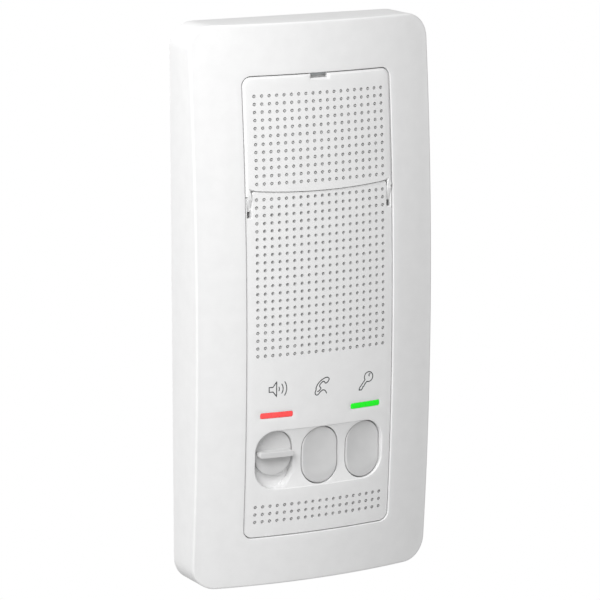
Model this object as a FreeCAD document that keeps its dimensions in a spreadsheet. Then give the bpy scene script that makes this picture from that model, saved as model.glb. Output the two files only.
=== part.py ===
import FreeCAD, Part

import math
import os

import Sketcher

# Hands-free wall intercom. Millimetres, +Z up, wall on the plane Y = 0, front towards -Y.
# The origin is the centre of the back. A "height" is a distance out from the wall, so Y = -height.

SIZES = {
    # outer plate, doubly curved like a pillow
    "plate_width": 86.0,
    "plate_height": 184.0,
    "plate_depth": 24.0,
    "plate_corner": 8.0,
    "plate_edge": 0.8,
    "pillow_across": 165.0,
    "pillow_along": 877.0,
    "frame_wall": 2.0,
    "frame_skin": 2.2,
    # window in the plate and what fills it
    "opening_width": 53.6,
    "opening_height": 151.2,
    "opening_corner": 3.2,
    "panel_gap": 0.3,
    "panel_recess": 0.5,
    "panel_skin": 2.4,
    "skirt": 1.2,
    # curved seam between the service cover and the face panel
    "seam_height": 38.0,
    "seam_radius": 260.0,
    "seam_gap": 0.4,
    "seam_rebate": 0.6,
    "cover_skin": 1.8,
    "cover_rest": 0.15,
    "shoulder_height": 37.3,
    "leg_place": 25.25,
    "leg_width": 1.25,
    "leg_root": 41.0,
    "leg_ramp_start": 36.5,
    "leg_ramp_depth": 1.3,
    "leg_tail": 0.8,
    "slot_clearance": 0.15,
    "slot_foot": 30.4,
    "slot_floor": 18.2,
    "pivot_height": 19.9,
    "pivot_level": 33.2,
    "pivot_radius": 0.5,
    "pivot_length": 0.8,
    "pivot_clearance": 0.08,
    "notch_width": 5.6,
    "notch_height": 1.4,
    "latch_width": 9.0,
    "latch_thickness": 1.2,
    "latch_reach": 4.8,
    "latch_gap": 0.8,
    # sound holes on a square grid
    "hole_pitch": 2.54,
    "hole_radius": 0.55,
    "hole_top": 69.2,
    "hole_columns": 19,
    "panel_first_row": 13,
    "panel_last_row": 33,
    "sound_level": 12.7,
    "sound_radius": 26.2,
    "mic_top": -65.07,
    "mic_rows": 3,
    "mic_open_columns": 5,
    # trough with the three wells
    "button_pitch": 16.25,
    "button_level": -49.65,
    "trough_width": 46.6,
    "trough_height": 19.75,
    "trough_corner": 7.05,
    "trough_depth": 2.1,
    "trough_radius": 31.0,
    "well_width": 13.4,
    "well_height": 19.6,
    "well_margin": 1.2,
    "well_bottom": 15.6,
    "button_gap": 0.3,
    "button_edge": 1.35,
    "button_dish": 2.2,
    "dish_radius": 45.0,
    "button_wall": 1.2,
    "button_flange": 0.8,
    "button_flange_height": 1.1,
    "button_seat": 0.1,
    "button_travel": 1.0,
    "stem_radius": 2.2,
    "stem_end": 11.0,
    # volume knob
    "recess_floor": 16.9,
    "knob_width": 12.6,
    "knob_height": 15.1,
    "knob_edge": 2.4,
    "knob_dish": 3.0,
    "knob_lift": 0.1,
    "knob_travel": 4.2,
    "ridge_height": 2.3,
    "ridge_rise": 0.5,
    "ridge_round": 0.7,
    "knob_stem_width": 6.0,
    "knob_stem_height": 4.0,
    "knob_stem_end": 12.6,
    "lever_width": 4.0,
    "lever_height": 1.6,
    "lever_end": 15.4,
    "lever_fit": 0.05,
    # light bars
    "bar_width": 11.1,
    "bar_height": 1.75,
    "bar_corner": 0.5,
    "bar_level": -34.45,
    "bar_fit": 0.1,
    "bar_proud": 0.1,
    "bar_flange": 1.0,
    "bar_stem": 5.0,
    "bar_end": 8.2,
    # chassis plate behind the panel
    "chassis_width": 70.0,
    "chassis_height": 158.0,
    "chassis_corner": 4.0,
    "chassis_back": 11.6,
    "chassis_thickness": 1.6,
    "tray_foot": 38.7,
    "tray_foot_wall": 1.4,
    "tray_window_width": 33.0,
    "tray_window_foot": 43.5,
    "tray_window_top": 72.0,
    # printed circuit board
    "board_width": 72.0,
    "board_height": 140.0,
    "board_corner": 2.0,
    "board_back": 4.0,
    "board_thickness": 1.6,
    "board_notch_width": 30.0,
    "board_notch_foot": 57.5,
    "board_screw_x": 32.0,
    "board_screw_low": -64.0,
    "board_screw_high": 44.0,
    # back plate
    "back_gap": 0.5,
    "back_thickness": 2.0,
    "wall_slot_x": 30.0,
    "wall_slot_z": 60.0,
    "wall_slot_radius": 2.2,
    "wall_slot_length": 8.0,
    "entry_width": 24.0,
    "entry_foot": 58.5,
    "entry_height": 13.0,
    "entry_corner": 2.0,
    "hook_x": 25.0,
    "hook_width": 8.0,
    "hook_wall": 1.4,
    "hook_ledge_low": 5.0,
    "hook_ledge_high": 6.5,
    "hook_ledge_reach": 1.4,
    "hook_gap": 0.3,
    "hook_lip": 1.2,
    # screws
    "frame_screw_x": 31.5,
    "frame_screw_z": 56.0,
    "frame_boss": 3.0,
    "lock_screw_x": 21.0,
    "lock_screw_z": 66.0,
    "lock_boss": 3.2,
    "panel_screw_x": 22.0,
    "panel_screw_low": -71.3,
    "panel_screw_high": -20.0,
    "panel_boss": 2.4,
    "screw_radius": 1.25,
    "screw_head": 2.4,
    "screw_head_height": 1.4,
    "screw_fit": 0.25,
    "screw_bite": 0.15,
    "screw_length": 5.0,
    "recess_width": 0.6,
    "recess_span": 2.4,
    "recess_depth": 0.8,
    # loudspeaker
    "speaker_level": 12.0,
    "speaker_width": 50.0,
    "speaker_height": 52.2,
    "speaker_corner": 9.0,
    "seat_corner": 15.2,
    "speaker_mouth": 23.0,
    "speaker_seat": 18.5,
    "seat_width": 1.2,
    "cloth_thickness": 0.25,
    "gasket_thickness": 0.55,
    "flange_thickness": 0.8,
    "basket_wall": 0.7,
    "basket_waist": 12.5,
    "basket_bottom": 10.8,
    "magnet_radius": 11.5,
    "magnet_bore": 6.6,
    "top_plate_thickness": 1.2,
    "magnet_thickness": 2.4,
    "yoke_thickness": 0.8,
    "pole_radius": 5.2,
    "coil_radius": 5.9,
    "coil_wall": 0.35,
    "coil_length": 4.0,
    "cone_wall": 0.35,
    "surround_width": 2.4,
    "surround_rise": 0.9,
    "cap_radius": 6.6,
    "cap_rise": 1.6,
    "speaker_screw_x": 20.4,
    "speaker_screw_rise": 22.0,
    "speaker_boss": 2.0,
    "speaker_screw_head": 2.6,
    "speaker_screw_length": 3.6,
    "tag_length": 4.0,
    "tag_width": 4.0,
    "tag_thickness": 1.8,
    # microphone
    "mic_level": -67.61,
    "mic_radius": 4.85,
    "mic_length": 4.5,
    "mic_front": 17.4,
    "boot_wall": 1.4,
    "boot_back": 12.0,
    "boot_front": 17.7,
    "boot_gap": 0.1,
    "mic_ring_wall": 1.0,
    "mic_ring_back": 15.2,
    # parts on the board
    "switch_side": 6.0,
    "switch_body": 3.5,
    "plunger_radius": 1.75,
    "plunger_fit": 0.1,
    "plunger_foot": 7.6,
    "pot_width": 9.0,
    "pot_height": 24.0,
    "pot_body": 4.4,
    "pot_slot": 1.0,
    "led_side": 3.2,
    "led_height": 1.8,
    "guide_width": 57.6,
    "guide_height": 22.5,
    "guide_thickness": 1.2,
    "guide_screw_x": 26.6,
    "guide_screw_length": 2.75,
    "guide_window": 47.5,
    "guide_window_height": 21.5,
    "bush_wall": 1.0,
    "bush_height": 1.3,
    "stem_fit": 0.2,
    "terminal_pitch": 5.0,
    "terminal_count": 6,
    "terminal_depth": 10.0,
    "terminal_height": 9.4,
    "terminal_level": 50.0,
    "terminal_entry_width": 3.6,
    "terminal_entry_height": 3.4,
    "terminal_well": 1.9,
    "terminal_screw": 1.65,
    "terminal_slot_depth": 0.8,
    "cap_can_radius": 3.15,
    "cap_can_height": 5.4,
    "cap_base_height": 1.0,
    "chip_length": 9.9,
    "chip_width": 6.0,
    "chip_height": 1.75,
    "part_length": 2.0,
    "part_width": 1.25,
    "part_height": 0.6,
    "part_left": 26.0,
    "part_top": 15.5,
    "part_column": 4.4,
    "part_row": 3.0,
    "part_gap": 9.0,
    "header_width": 7.5,
    "header_depth": 5.0,
    "header_height": 5.2,
    "wire_radius": 0.42,
    "wire_apart": 0.05,
    # a rounded end's corners stop this short of meeting, and posts start this deep in their plate
    "end_slack": 0.01,
    "seat_sink": 0.1,
}


class Formula:
    """A size that knows its value and how the spreadsheet spells it."""

    def __init__(self, text, value):
        self.text = text
        self.value = value

    def __add__(self, other):
        other = formula(other)
        return Formula("(%s + %s)" % (self.text, other.text), self.value + other.value)

    def __sub__(self, other):
        other = formula(other)
        return Formula("(%s - %s)" % (self.text, other.text), self.value - other.value)

    def __mul__(self, other):
        other = formula(other)
        return Formula("(%s * %s)" % (self.text, other.text), self.value * other.value)

    def __truediv__(self, other):
        other = formula(other)
        return Formula("(%s / %s)" % (self.text, other.text), self.value / other.value)

    def __radd__(self, other):
        return formula(other) + self

    def __rsub__(self, other):
        return formula(other) - self

    def __rmul__(self, other):
        return formula(other) * self

    def __neg__(self):
        return Formula("(-%s)" % self.text, -self.value)


def formula(size):
    if isinstance(size, Formula):
        return size
    return Formula("(%r)" % float(size), float(size))


def root(size):
    return Formula("sqrt(%s)" % size.text, math.sqrt(size.value))


class Sizes:
    """One attribute for each named cell of the spreadsheet."""


def fill_sheet(document):
    sheet = document.addObject("Spreadsheet::Sheet", "Sizes")
    sizes = Sizes()
    for row, (name, value) in enumerate(SIZES.items(), 1):
        sheet.set("A%d" % row, name)
        sheet.set("B%d" % row, str(value))
        sheet.setAlias("B%d" % row, name)
        setattr(sizes, name, Formula("Sizes." + name, value))
    return sizes


doc = FreeCAD.newDocument("wall_intercom")
s = fill_sheet(doc)
doc.recompute()
nodes = {}

FRONT = FreeCAD.Rotation(FreeCAD.Vector(1, 0, 0), 90)
ACROSS = FreeCAD.Rotation(FreeCAD.Vector(0, 1, 0), 90)
BOTH = (-1, 1)


def bind(target, **formulas):
    for name, size in formulas.items():
        target.setExpression(name, formula(size).text)


def place(target, x, height, z, rotation=None):
    if rotation is not None:
        target.Placement = FreeCAD.Placement(FreeCAD.Vector(), rotation)
    for name, size in (("x", x), ("y", -formula(height)), ("z", z)):
        target.setExpression("Placement.Base." + name, formula(size).text)


# Primitives. Each spans from a low to a high value on every axis it is given.

def box(name, x, heights, z):
    made = doc.addObject("Part::Box", name)
    bind(made, Length=x[1] - x[0], Width=heights[1] - heights[0], Height=z[1] - z[0])
    place(made, x[0], heights[1], z[0])
    return made


def rod(name, x, z, radius, low, high):
    made = doc.addObject("Part::Cylinder", name)
    bind(made, Radius=radius, Height=high - low)
    place(made, x, low, z, FRONT)
    return made


def cross_rod(name, x, height, z, radius):
    made = doc.addObject("Part::Cylinder", name)
    bind(made, Radius=radius, Height=x[1] - x[0])
    place(made, x[0], height, z, ACROSS)
    return made


def pillow(name, inset):
    """Everything behind the front surface, or behind a surface parallel to it."""
    made = doc.addObject("Part::Torus", name)
    bind(made, Radius1=s.pillow_along - s.pillow_across, Radius2=s.pillow_across - inset)
    place(made, 0, s.plate_depth - s.pillow_along, 0, ACROSS)
    return made


def surface(x, z, inset=0):
    """Height of the pillow surface above the wall."""
    x, z = formula(x), formula(z)
    tube = s.pillow_across - inset
    ring = (s.pillow_along - s.pillow_across) + root(tube * tube - x * x)
    return s.plate_depth - s.pillow_along + root(ring * ring - z * z)


# Booleans

def common(name, *shapes):
    made = doc.addObject("Part::MultiCommon", name)
    made.Shapes = list(shapes)
    return made


def fuse(name, *shapes):
    made = doc.addObject("Part::MultiFuse", name)
    made.Shapes = list(shapes)
    return made


def cut(name, base, *tools):
    made = doc.addObject("Part::Cut", name)
    made.Base = base
    made.Tool = tools[0] if len(tools) == 1 else fuse(name + "_tools", *tools)
    return made


def group(name, *shapes):
    made = doc.addObject("Part::Compound", name)
    made.Links = list(shapes)
    return made


def round_edges(name, base, radius, chosen):
    """Rounds the edges of base whose bounding box the function chosen accepts."""
    doc.recompute()
    made = doc.addObject("Part::Fillet", name)
    made.Base = base
    numbers = [i for i, edge in enumerate(base.Shape.Edges, 1) if chosen(edge)]
    made.Edges = [(i, radius.value, radius.value) for i in numbers]
    return made


# Sketched bodies

def origin_plane(body, role):
    return [f for f in body.Origin.OriginFeatures if f.Role == role][0]


def new_sketch(body, name, role="XZ_Plane", lift=0):
    sketch = body.newObject("Sketcher::SketchObject", name)
    sketch.AttachmentSupport = [(origin_plane(body, role), "")]
    sketch.MapMode = "FlatFace"
    bind(sketch, **{"AttachmentOffset.Base.z": lift})
    return sketch


def dimension(sketch, kind, geometry, point, size):
    size = formula(size)
    if kind == "Radius":
        constraint = Sketcher.Constraint(kind, geometry, size.value)
    else:
        constraint = Sketcher.Constraint(kind, geometry, point, size.value)
    number = sketch.addConstraint(constraint)
    sketch.setExpression("Constraints[%d]" % number, size.text)


def vector(x, y):
    return FreeCAD.Vector(formula(x).value, formula(y).value, 0)


def draw_rounded(sketch, x, y, corner):
    """A rectangle from x[0] to x[1] and y[0] to y[1] with round corners."""
    r = formula(corner)
    lines = (
        (vector(x[0] + r, y[0]), vector(x[1] - r, y[0])),
        (vector(x[1], y[0] + r), vector(x[1], y[1] - r)),
        (vector(x[1] - r, y[1]), vector(x[0] + r, y[1])),
        (vector(x[0], y[1] - r), vector(x[0], y[0] + r)),
    )
    centres = (
        vector(x[1] - r, y[0] + r),
        vector(x[1] - r, y[1] - r),
        vector(x[0] + r, y[1] - r),
        vector(x[0] + r, y[0] + r),
    )
    first = sketch.GeometryCount
    for side in range(4):
        start = math.radians(90 * (side - 1))
        circle = Part.Circle(centres[side], FreeCAD.Vector(0, 0, 1), r.value)
        sketch.addGeometry(Part.LineSegment(*lines[side]), False)
        sketch.addGeometry(Part.ArcOfCircle(circle, start, start + math.pi / 2), False)
    for side in range(4):
        line, arc = first + 2 * side, first + 2 * side + 1
        following = first + (2 * side + 2) % 8
        sketch.addConstraint(Sketcher.Constraint("Tangent", line, 2, arc, 1))
        sketch.addConstraint(Sketcher.Constraint("Tangent", arc, 2, following, 1))
        direction = "Horizontal" if side % 2 == 0 else "Vertical"
        sketch.addConstraint(Sketcher.Constraint(direction, line))
        if side:
            sketch.addConstraint(Sketcher.Constraint("Equal", first + 1, arc))
    dimension(sketch, "Radius", first + 1, None, r)
    dimension(sketch, "DistanceY", first, 1, y[0])
    dimension(sketch, "DistanceX", first + 2, 1, x[1])
    dimension(sketch, "DistanceY", first + 4, 1, y[1])
    dimension(sketch, "DistanceX", first + 6, 1, x[0])


def draw_circle(sketch, x, y, radius):
    circle = Part.Circle(vector(x, y), FreeCAD.Vector(0, 0, 1), formula(radius).value)
    number = sketch.addGeometry(circle, False)
    dimension(sketch, "Radius", number, None, radius)
    dimension(sketch, "DistanceX", number, 3, x)
    dimension(sketch, "DistanceY", number, 3, y)


def draw_polygon(sketch, points):
    first = sketch.GeometryCount
    count = len(points)
    for i in range(count):
        ends = vector(*points[i]), vector(*points[(i + 1) % count])
        sketch.addGeometry(Part.LineSegment(*ends), False)
    for i in range(count):
        following = first + (i + 1) % count
        sketch.addConstraint(Sketcher.Constraint("Coincident", first + i, 2, following, 1))
        dimension(sketch, "DistanceX", first + i, 1, points[i][0])
        dimension(sketch, "DistanceY", first + i, 1, points[i][1])


def pad(body, name, sketch, length):
    made = body.newObject("PartDesign::Pad", name)
    made.Profile = sketch
    bind(made, Length=length)
    body.Tip = made
    return made


def pocket(body, name, sketch, length):
    """Cuts from the sketch back towards the wall."""
    made = body.newObject("PartDesign::Pocket", name)
    made.Profile = sketch
    bind(made, Length=length)
    body.Tip = made
    return made


def rounded_prism(name, x, z, corner, low, high):
    body = doc.addObject("PartDesign::Body", name)
    sketch = new_sketch(body, name + "_outline", lift=low)
    draw_rounded(sketch, x, z, corner)
    pad(body, name + "_pad", sketch, high - low)
    return body


def turned(name, profile, x=0, z=0):
    """A round piece about a line square to the wall. The profile holds (radius, height)."""
    body = doc.addObject("PartDesign::Body", name)
    sketch = new_sketch(body, name + "_profile", role="XY_Plane")
    draw_polygon(sketch, [(radius, -formula(height)) for radius, height in profile])
    made = body.newObject("PartDesign::Revolution", name + "_turn")
    made.Profile = sketch
    made.ReferenceAxis = (sketch, ["V_Axis"])
    made.Angle = 360
    body.Tip = made
    place(body, x, 0, z)
    return body


def screw(name, x, z, head_face, forward, length, head=None):
    """A pan head screw. Its head's seat is at head_face and its shank runs forward or back."""
    head = s.screw_head if head is None else head
    seat = formula(head_face)
    tip = seat + length if forward else seat - length
    crown = seat - s.screw_head_height if forward else seat + s.screw_head_height
    floor = crown + s.recess_depth if forward else crown - s.recess_depth
    shank = rod(name + "_shank", x, z, s.screw_radius, *ordered(seat, tip))
    cap = rod(name + "_head", x, z, head, *ordered(seat, crown))
    slots = []
    for turn in (0, 1):
        half = (s.recess_span / 2, s.recess_width / 2)
        across, along = half[turn], half[1 - turn]
        slot = (x - across, x + across), ordered(crown, floor), (z - along, z + along)
        slots.append(box("%s_slot_%d" % (name, turn), *slot))
    return cut(name, fuse(name + "_blank", shank, cap), *slots)


def ordered(first, second):
    return (first, second) if first.value < second.value else (second, first)


def node(name, made):
    made.Label = name
    nodes[name] = made
    return made


def mirrored_places(x, levels):
    return [(sign * x, level) for level in levels for sign in BOTH]


def window_half():
    return s.opening_width / 2 - s.panel_gap, s.opening_height / 2 - s.panel_gap


def panel_corner():
    return s.opening_corner - s.panel_gap


def beyond():
    """A height clear of everything in front."""
    return s.plate_depth + 5


# Front frame: the outer shell that carries the rest

def make_front_frame():
    half_w, half_h = s.plate_width / 2, s.plate_height / 2
    slab = rounded_prism("plate_slab", (-half_w, half_w), (-half_h, half_h), s.plate_corner, 0, beyond())
    plate = common("plate_solid", slab, pillow("plate_front", 0))
    rounded = round_edges("plate_rounded", plate, s.plate_edge, is_front_rim)
    inner_w, inner_h = half_w - s.frame_wall, half_h - s.frame_wall
    inner = rounded_prism(
        "frame_inner", (-inner_w, inner_w), (-inner_h, inner_h),
        s.plate_corner - s.frame_wall, -1, beyond())
    cavity = common("frame_cavity", inner, pillow("frame_underside", s.frame_skin))
    hole_w, hole_h = s.opening_width / 2, s.opening_height / 2
    opening = rounded_prism(
        "frame_opening", (-hole_w, hole_w), (-hole_h, hole_h), s.opening_corner, 1, beyond())
    shell = cut("frame_shell", rounded, cavity, opening)
    extras = []
    pilots = []
    chassis_front = s.chassis_back + s.chassis_thickness
    skin_middle = pillow("frame_boss_limit", s.frame_skin / 2)
    places = mirrored_places(s.frame_screw_x, (-s.frame_screw_z, s.frame_screw_z))
    for i, (x, z) in enumerate(places, 1):
        boss = rod("frame_boss_%d" % i, x, z, s.frame_boss, chassis_front, beyond())
        extras.append(common("frame_boss_%d_cut" % i, boss, skin_middle))
        bottom = s.chassis_back + s.screw_length
        pilots.append(rod("frame_pilot_%d" % i, x, z, s.screw_radius, chassis_front - 1, bottom))
    for i, sign in enumerate(BOTH, 1):
        middle = sign * s.hook_x
        wide = (middle - s.hook_width / 2, middle + s.hook_width / 2)
        tall = (-inner_h - s.frame_wall / 2, -inner_h + s.hook_ledge_reach)
        extras.append(box("frame_ledge_%d" % i, wide, (s.hook_ledge_low, s.hook_ledge_high), tall))
    node("front_frame", cut("front_frame", fuse("frame_with_bosses", shell, *extras), *pilots))


def is_front_rim(edge):
    """True for the edges where the front surface meets the side walls."""
    first, last = edge.Vertexes[0].Point, edge.Vertexes[-1].Point
    return first.y < -1 and last.y < -1 and abs(first.y - last.y) < 5 * s.plate_edge.value


# Face panel: grille, light bar windows and the trough with its wells

def panel_outline(name, low, high):
    half_w, half_h = window_half()
    return rounded_prism(name, (-half_w, half_w), (-half_h, half_h), panel_corner(), low, high)


def panel_inside(name, low, high):
    half_w, half_h = window_half()
    half_w, half_h = half_w - s.skirt, half_h - s.skirt
    corner = panel_corner() - s.skirt
    return rounded_prism(name, (-half_w, half_w), (-half_h, half_h), corner, low, high)


def trough_tool():
    """A fat curved bar, bent like the front surface, that leaves a hollow groove."""
    body = doc.addObject("PartDesign::Body", "trough_bar")
    sketch = new_sketch(body, "trough_section", role="YZ_Plane")
    front = surface(0, s.button_level)
    centre_y = -(front - s.trough_depth + s.trough_radius)
    draw_circle(sketch, centre_y, s.button_level, s.trough_radius)
    axis = sketch.addGeometry(Part.LineSegment(vector(1, 0), vector(1, 1)), True)
    sketch.addConstraint(Sketcher.Constraint("Vertical", axis))
    dimension(sketch, "DistanceX", axis, 1, s.pillow_across - front)
    made = body.newObject("PartDesign::Revolution", "trough_sweep")
    made.Profile = sketch
    made.ReferenceAxis = (sketch, ["Axis0"])
    made.Angle = 30
    made.Midplane = True
    body.Tip = made
    half_w, half_h = s.trough_width / 2, s.trough_height / 2
    outline = rounded_prism(
        "trough_outline", (-half_w, half_w),
        (s.button_level - half_h, s.button_level + half_h), s.trough_corner, 1, beyond())
    return common("trough", body, outline)


def obround(name, x, z, width, height, low, high):
    """A slot-shaped prism, rounded at the top and the bottom."""
    corner = width / 2 - s.end_slack
    return rounded_prism(
        name, (x - width / 2, x + width / 2), (z - height / 2, z + height / 2), corner, low, high)


def well_columns():
    return -s.button_pitch, formula(0), s.button_pitch


def speaker_hole_rows():
    """The grid places in front of the loudspeaker, row by row."""
    pitch, reach = s.hole_pitch.value, s.sound_radius.value
    middle = (int(s.hole_columns.value) - 1) // 2
    rows = []
    for number in range(int(s.panel_first_row.value), int(s.panel_last_row.value) + 1):
        z = s.hole_top.value - number * pitch
        row = [(column * pitch, z) for column in range(-middle, middle + 1)]
        rows.append([(x, z) for x, z in row if math.hypot(x, z - s.sound_level.value) <= reach])
    return rows


def mic_hole_rows():
    pitch = s.hole_pitch.value
    middle = (int(s.mic_open_columns.value) - 1) // 2
    levels = [s.mic_top.value - number * pitch for number in range(int(s.mic_rows.value))]
    return [[(column * pitch, z) for column in range(-middle, middle + 1)] for z in levels]


def hole_rod(x, z):
    """A rod through the skin, turned so that its seam line lies clear of the skin's own edges."""
    low, high = s.boot_front.value, s.plate_depth.value + 1
    foot = FreeCAD.Vector(x, -low, z)
    outward = FreeCAD.Vector(0, -1, 0)
    made = Part.makeCylinder(s.hole_radius.value, high - low, foot, outward)
    made.rotate(foot, outward, 45)
    return made


def hole_rods(rows):
    return Part.makeCompound([hole_rod(x, z) for row in rows for x, z in row])


def pierce(name, base):
    """Cuts the sound holes, every other row at a time: one cut for them all comes out unsound."""
    doc.recompute()
    rows = speaker_hole_rows() + mic_hole_rows()
    made = doc.addObject("Part::Feature", name)
    made.Shape = base.Shape.cut(hole_rods(rows[0::2])).cut(hole_rods(rows[1::2]))
    return made


def speaker_screw_places():
    rise = s.speaker_screw_rise
    return mirrored_places(s.speaker_screw_x, (s.speaker_level - rise, s.speaker_level + rise))


def panel_screw_places():
    return mirrored_places(s.panel_screw_x, (s.panel_screw_low, s.panel_screw_high))


def leg_span(sign, clearance=0):
    """The x range of a cover leg, or of the slot that it stands in."""
    reach = s.leg_width / 2 + clearance
    middle = sign * s.leg_place
    return middle - reach, middle + reach


def leg_slot(name, sign):
    x = leg_span(sign, s.slot_clearance)
    return box(name, x, (s.slot_floor, beyond()), (s.slot_foot, s.leg_root + s.slot_clearance * 2))


def make_front_panel():
    chassis_front = s.chassis_back + s.chassis_thickness
    solid = common(
        "panel_solid", panel_outline("panel_block", chassis_front, beyond()),
        pillow("panel_front", s.panel_recess))
    hollow = common(
        "panel_hollow", panel_inside("panel_inside", 1, beyond()),
        pillow("panel_underside", s.panel_recess + s.panel_skin))
    posts = [well_block(), speaker_ring(), mic_ring()]
    pilots = []
    for i, (x, z) in enumerate(speaker_screw_places(), 1):
        posts.append(rod("speaker_boss_%d" % i, x, z, s.speaker_boss, s.speaker_seat, beyond()))
        tip = speaker_back() + s.speaker_screw_length
        pilots.append(rod("speaker_pilot_%d" % i, x, z, s.screw_radius, s.speaker_seat - 1, tip))
    for i, (x, z) in enumerate(panel_screw_places(), 1):
        posts.append(rod("panel_boss_%d" % i, x, z, s.panel_boss, chassis_front, beyond()))
        tip = s.chassis_back + s.screw_length
        pilots.append(rod("panel_pilot_%d" % i, x, z, s.screw_radius, chassis_front - 1, tip))
    moulding = cut("panel_moulding", solid, cut("panel_hollow_round_posts", hollow, *posts))
    tools = [trough_tool()] + panel_top_tools() + well_tools() + bar_windows() + pilots
    node("front_panel", pierce("front_panel", cut("panel_cut", moulding, *tools)))


def well_block():
    half_w = s.trough_width / 2 + s.well_margin
    half_h = s.trough_height / 2 + s.well_margin
    return rounded_prism(
        "well_block", (-half_w, half_w), (s.button_level - half_h, s.button_level + half_h),
        s.trough_corner + s.well_margin, s.well_bottom, beyond())


def speaker_outline(name, corner, shrink, low, high):
    half_w, half_h = s.speaker_width / 2 - shrink, s.speaker_height / 2 - shrink
    return rounded_prism(
        name, (-half_w, half_w), (s.speaker_level - half_h, s.speaker_level + half_h),
        corner - shrink, low, high)


def speaker_ring():
    outer = speaker_outline("speaker_ring_outer", s.seat_corner, 0, s.speaker_seat, beyond())
    inner = speaker_outline(
        "speaker_ring_bore", s.seat_corner, s.seat_width, s.speaker_seat - 1, beyond())
    return cut("speaker_ring", outer, inner)


def speaker_back():
    """Height of the back of the loudspeaker's flange, where its screws sit."""
    return s.speaker_seat - s.cloth_thickness - s.gasket_thickness - s.flange_thickness


def mic_ring():
    bore = s.mic_radius + s.boot_wall + s.boot_gap
    outer = rod(
        "mic_ring_outer", 0, s.mic_level, bore + s.mic_ring_wall, s.mic_ring_back, beyond())
    inner = rod("mic_ring_bore", 0, s.mic_level, bore, s.mic_ring_back - 1, beyond())
    return cut("mic_ring", outer, inner)


def panel_top_tools():
    """What shapes the panel's top edge: the curved seam, the leg slots and the pin sockets."""
    centre = s.seam_height - s.seam_gap / 2 + s.seam_radius
    tools = [rod("panel_seam", 0, centre, s.seam_radius, 1, beyond())]
    for i, sign in enumerate(BOTH, 1):
        tools.append(leg_slot("panel_slot_%d" % i, sign))
        half_w = window_half()[0]
        edges = ordered(sign * (s.leg_place - s.leg_width / 2), sign * (half_w + 1))
        level = s.shoulder_height - s.panel_gap
        tools.append(box("panel_rim_top_%d" % i, edges, (1, beyond()), (level, s.leg_root)))
        inner = s.leg_place - s.leg_width / 2 - s.slot_clearance
        reach = ordered(sign * (inner - s.pivot_length), sign * inner)
        radius = s.pivot_radius + s.pivot_clearance
        tools.append(cross_rod("pin_socket_%d" % i, reach, s.pivot_height, s.pivot_level, radius))
    return tools


def well_tools():
    """The two button wells, the knob's recess and the slot for the knob's stem."""
    tools = []
    lows = (s.recess_floor, formula(1), formula(1))
    for i, (x, low) in enumerate(zip(well_columns(), lows), 1):
        tools.append(obround(
            "well_%d" % i, x, s.button_level, s.well_width, s.well_height, low, beyond()))
    half_w = s.knob_stem_width / 2 + s.button_gap
    high = knob_level() + s.knob_stem_height / 2 + s.button_gap
    low = knob_level() - s.knob_travel - s.knob_stem_height / 2 - s.button_gap
    x = (-s.button_pitch - half_w, -s.button_pitch + half_w)
    tools.append(box("stem_slot", x, (formula(1), s.recess_floor + 1), (low, high)))
    return tools


def knob_level():
    """The knob's middle at the top of its travel, as it stands in the photograph."""
    top = s.button_level + s.well_height / 2
    return top - (s.well_height - s.knob_height - s.knob_travel) / 2 - s.knob_height / 2


def light_bar(name, x, grow, low, high):
    half_w, half_h = s.bar_width / 2 + grow, s.bar_height / 2 + grow
    return rounded_prism(
        name, (x - half_w, x + half_w), (s.bar_level - half_h, s.bar_level + half_h),
        s.bar_corner + grow, low, high)


def bar_windows():
    return [
        light_bar("bar_window_%d" % i, sign * s.button_pitch, s.bar_fit, 1, beyond())
        for i, sign in enumerate(BOTH, 1)
    ]


# Chassis: the plate that everything is screwed to, with the wiring tray at its top

def make_chassis():
    front = s.chassis_back + s.chassis_thickness
    half_w, half_h = s.chassis_width / 2, s.chassis_height / 2
    plate = rounded_prism(
        "chassis_plate", (-half_w, half_w), (-half_h, half_h),
        s.chassis_corner, s.chassis_back, front)
    holes = new_sketch(plate, "chassis_windows", lift=front)
    draw_circle(holes, 0, s.speaker_level, s.speaker_mouth + s.basket_wall)
    guide_half = s.guide_window_height / 2
    draw_rounded(
        holes, (-s.guide_window / 2, s.guide_window / 2),
        (s.button_level - guide_half, s.button_level + guide_half), s.board_corner)
    draw_rounded(
        holes, (-s.tray_window_width / 2, s.tray_window_width / 2),
        (s.tray_window_foot, s.tray_window_top), s.board_corner)
    for sign in BOTH:
        x = sign * s.button_pitch
        reach = s.bar_stem / 2 + s.screw_fit * 2
        level = (s.bar_level - s.bar_height / 2 - s.screw_fit, s.bar_level + s.bar_height / 2 + s.screw_fit)
        draw_rounded(holes, (x - reach, x + reach), level, s.bar_corner)
    draw_circle(holes, 0, s.mic_level, s.mic_radius + s.boot_wall + s.boot_gap * 2)
    clearance = s.screw_radius + s.screw_fit
    screws = mirrored_places(s.frame_screw_x, (-s.frame_screw_z, s.frame_screw_z))
    screws += mirrored_places(s.lock_screw_x, (s.lock_screw_z,)) + panel_screw_places()
    for x, z in screws:
        draw_circle(holes, x, z, clearance)
    pocket(plate, "chassis_pocket", holes, s.chassis_thickness * 2)
    extras = [tray_walls()]
    pilots = []
    for i, (x, z) in enumerate(board_screw_places(), 1):
        seat = s.board_back + s.board_thickness
        extras.append(rod(
            "board_boss_%d" % i, x, z, s.frame_boss, seat, s.chassis_back + s.seat_sink))
        tip = s.board_back + s.screw_length
        pilots.append(rod("board_pilot_%d" % i, x, z, s.screw_radius, seat - 1, tip))
    for i, x in enumerate((-s.guide_screw_x, s.guide_screw_x), 1):
        pilots.append(rod("guide_pilot_%d" % i, x, s.button_level, s.screw_radius, 1, front + 1))
    node("chassis", cut("chassis", fuse("chassis_solid", plate, *extras), *pilots))


def board_screw_places():
    return mirrored_places(s.board_screw_x, (s.board_screw_low, s.board_screw_high))


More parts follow.
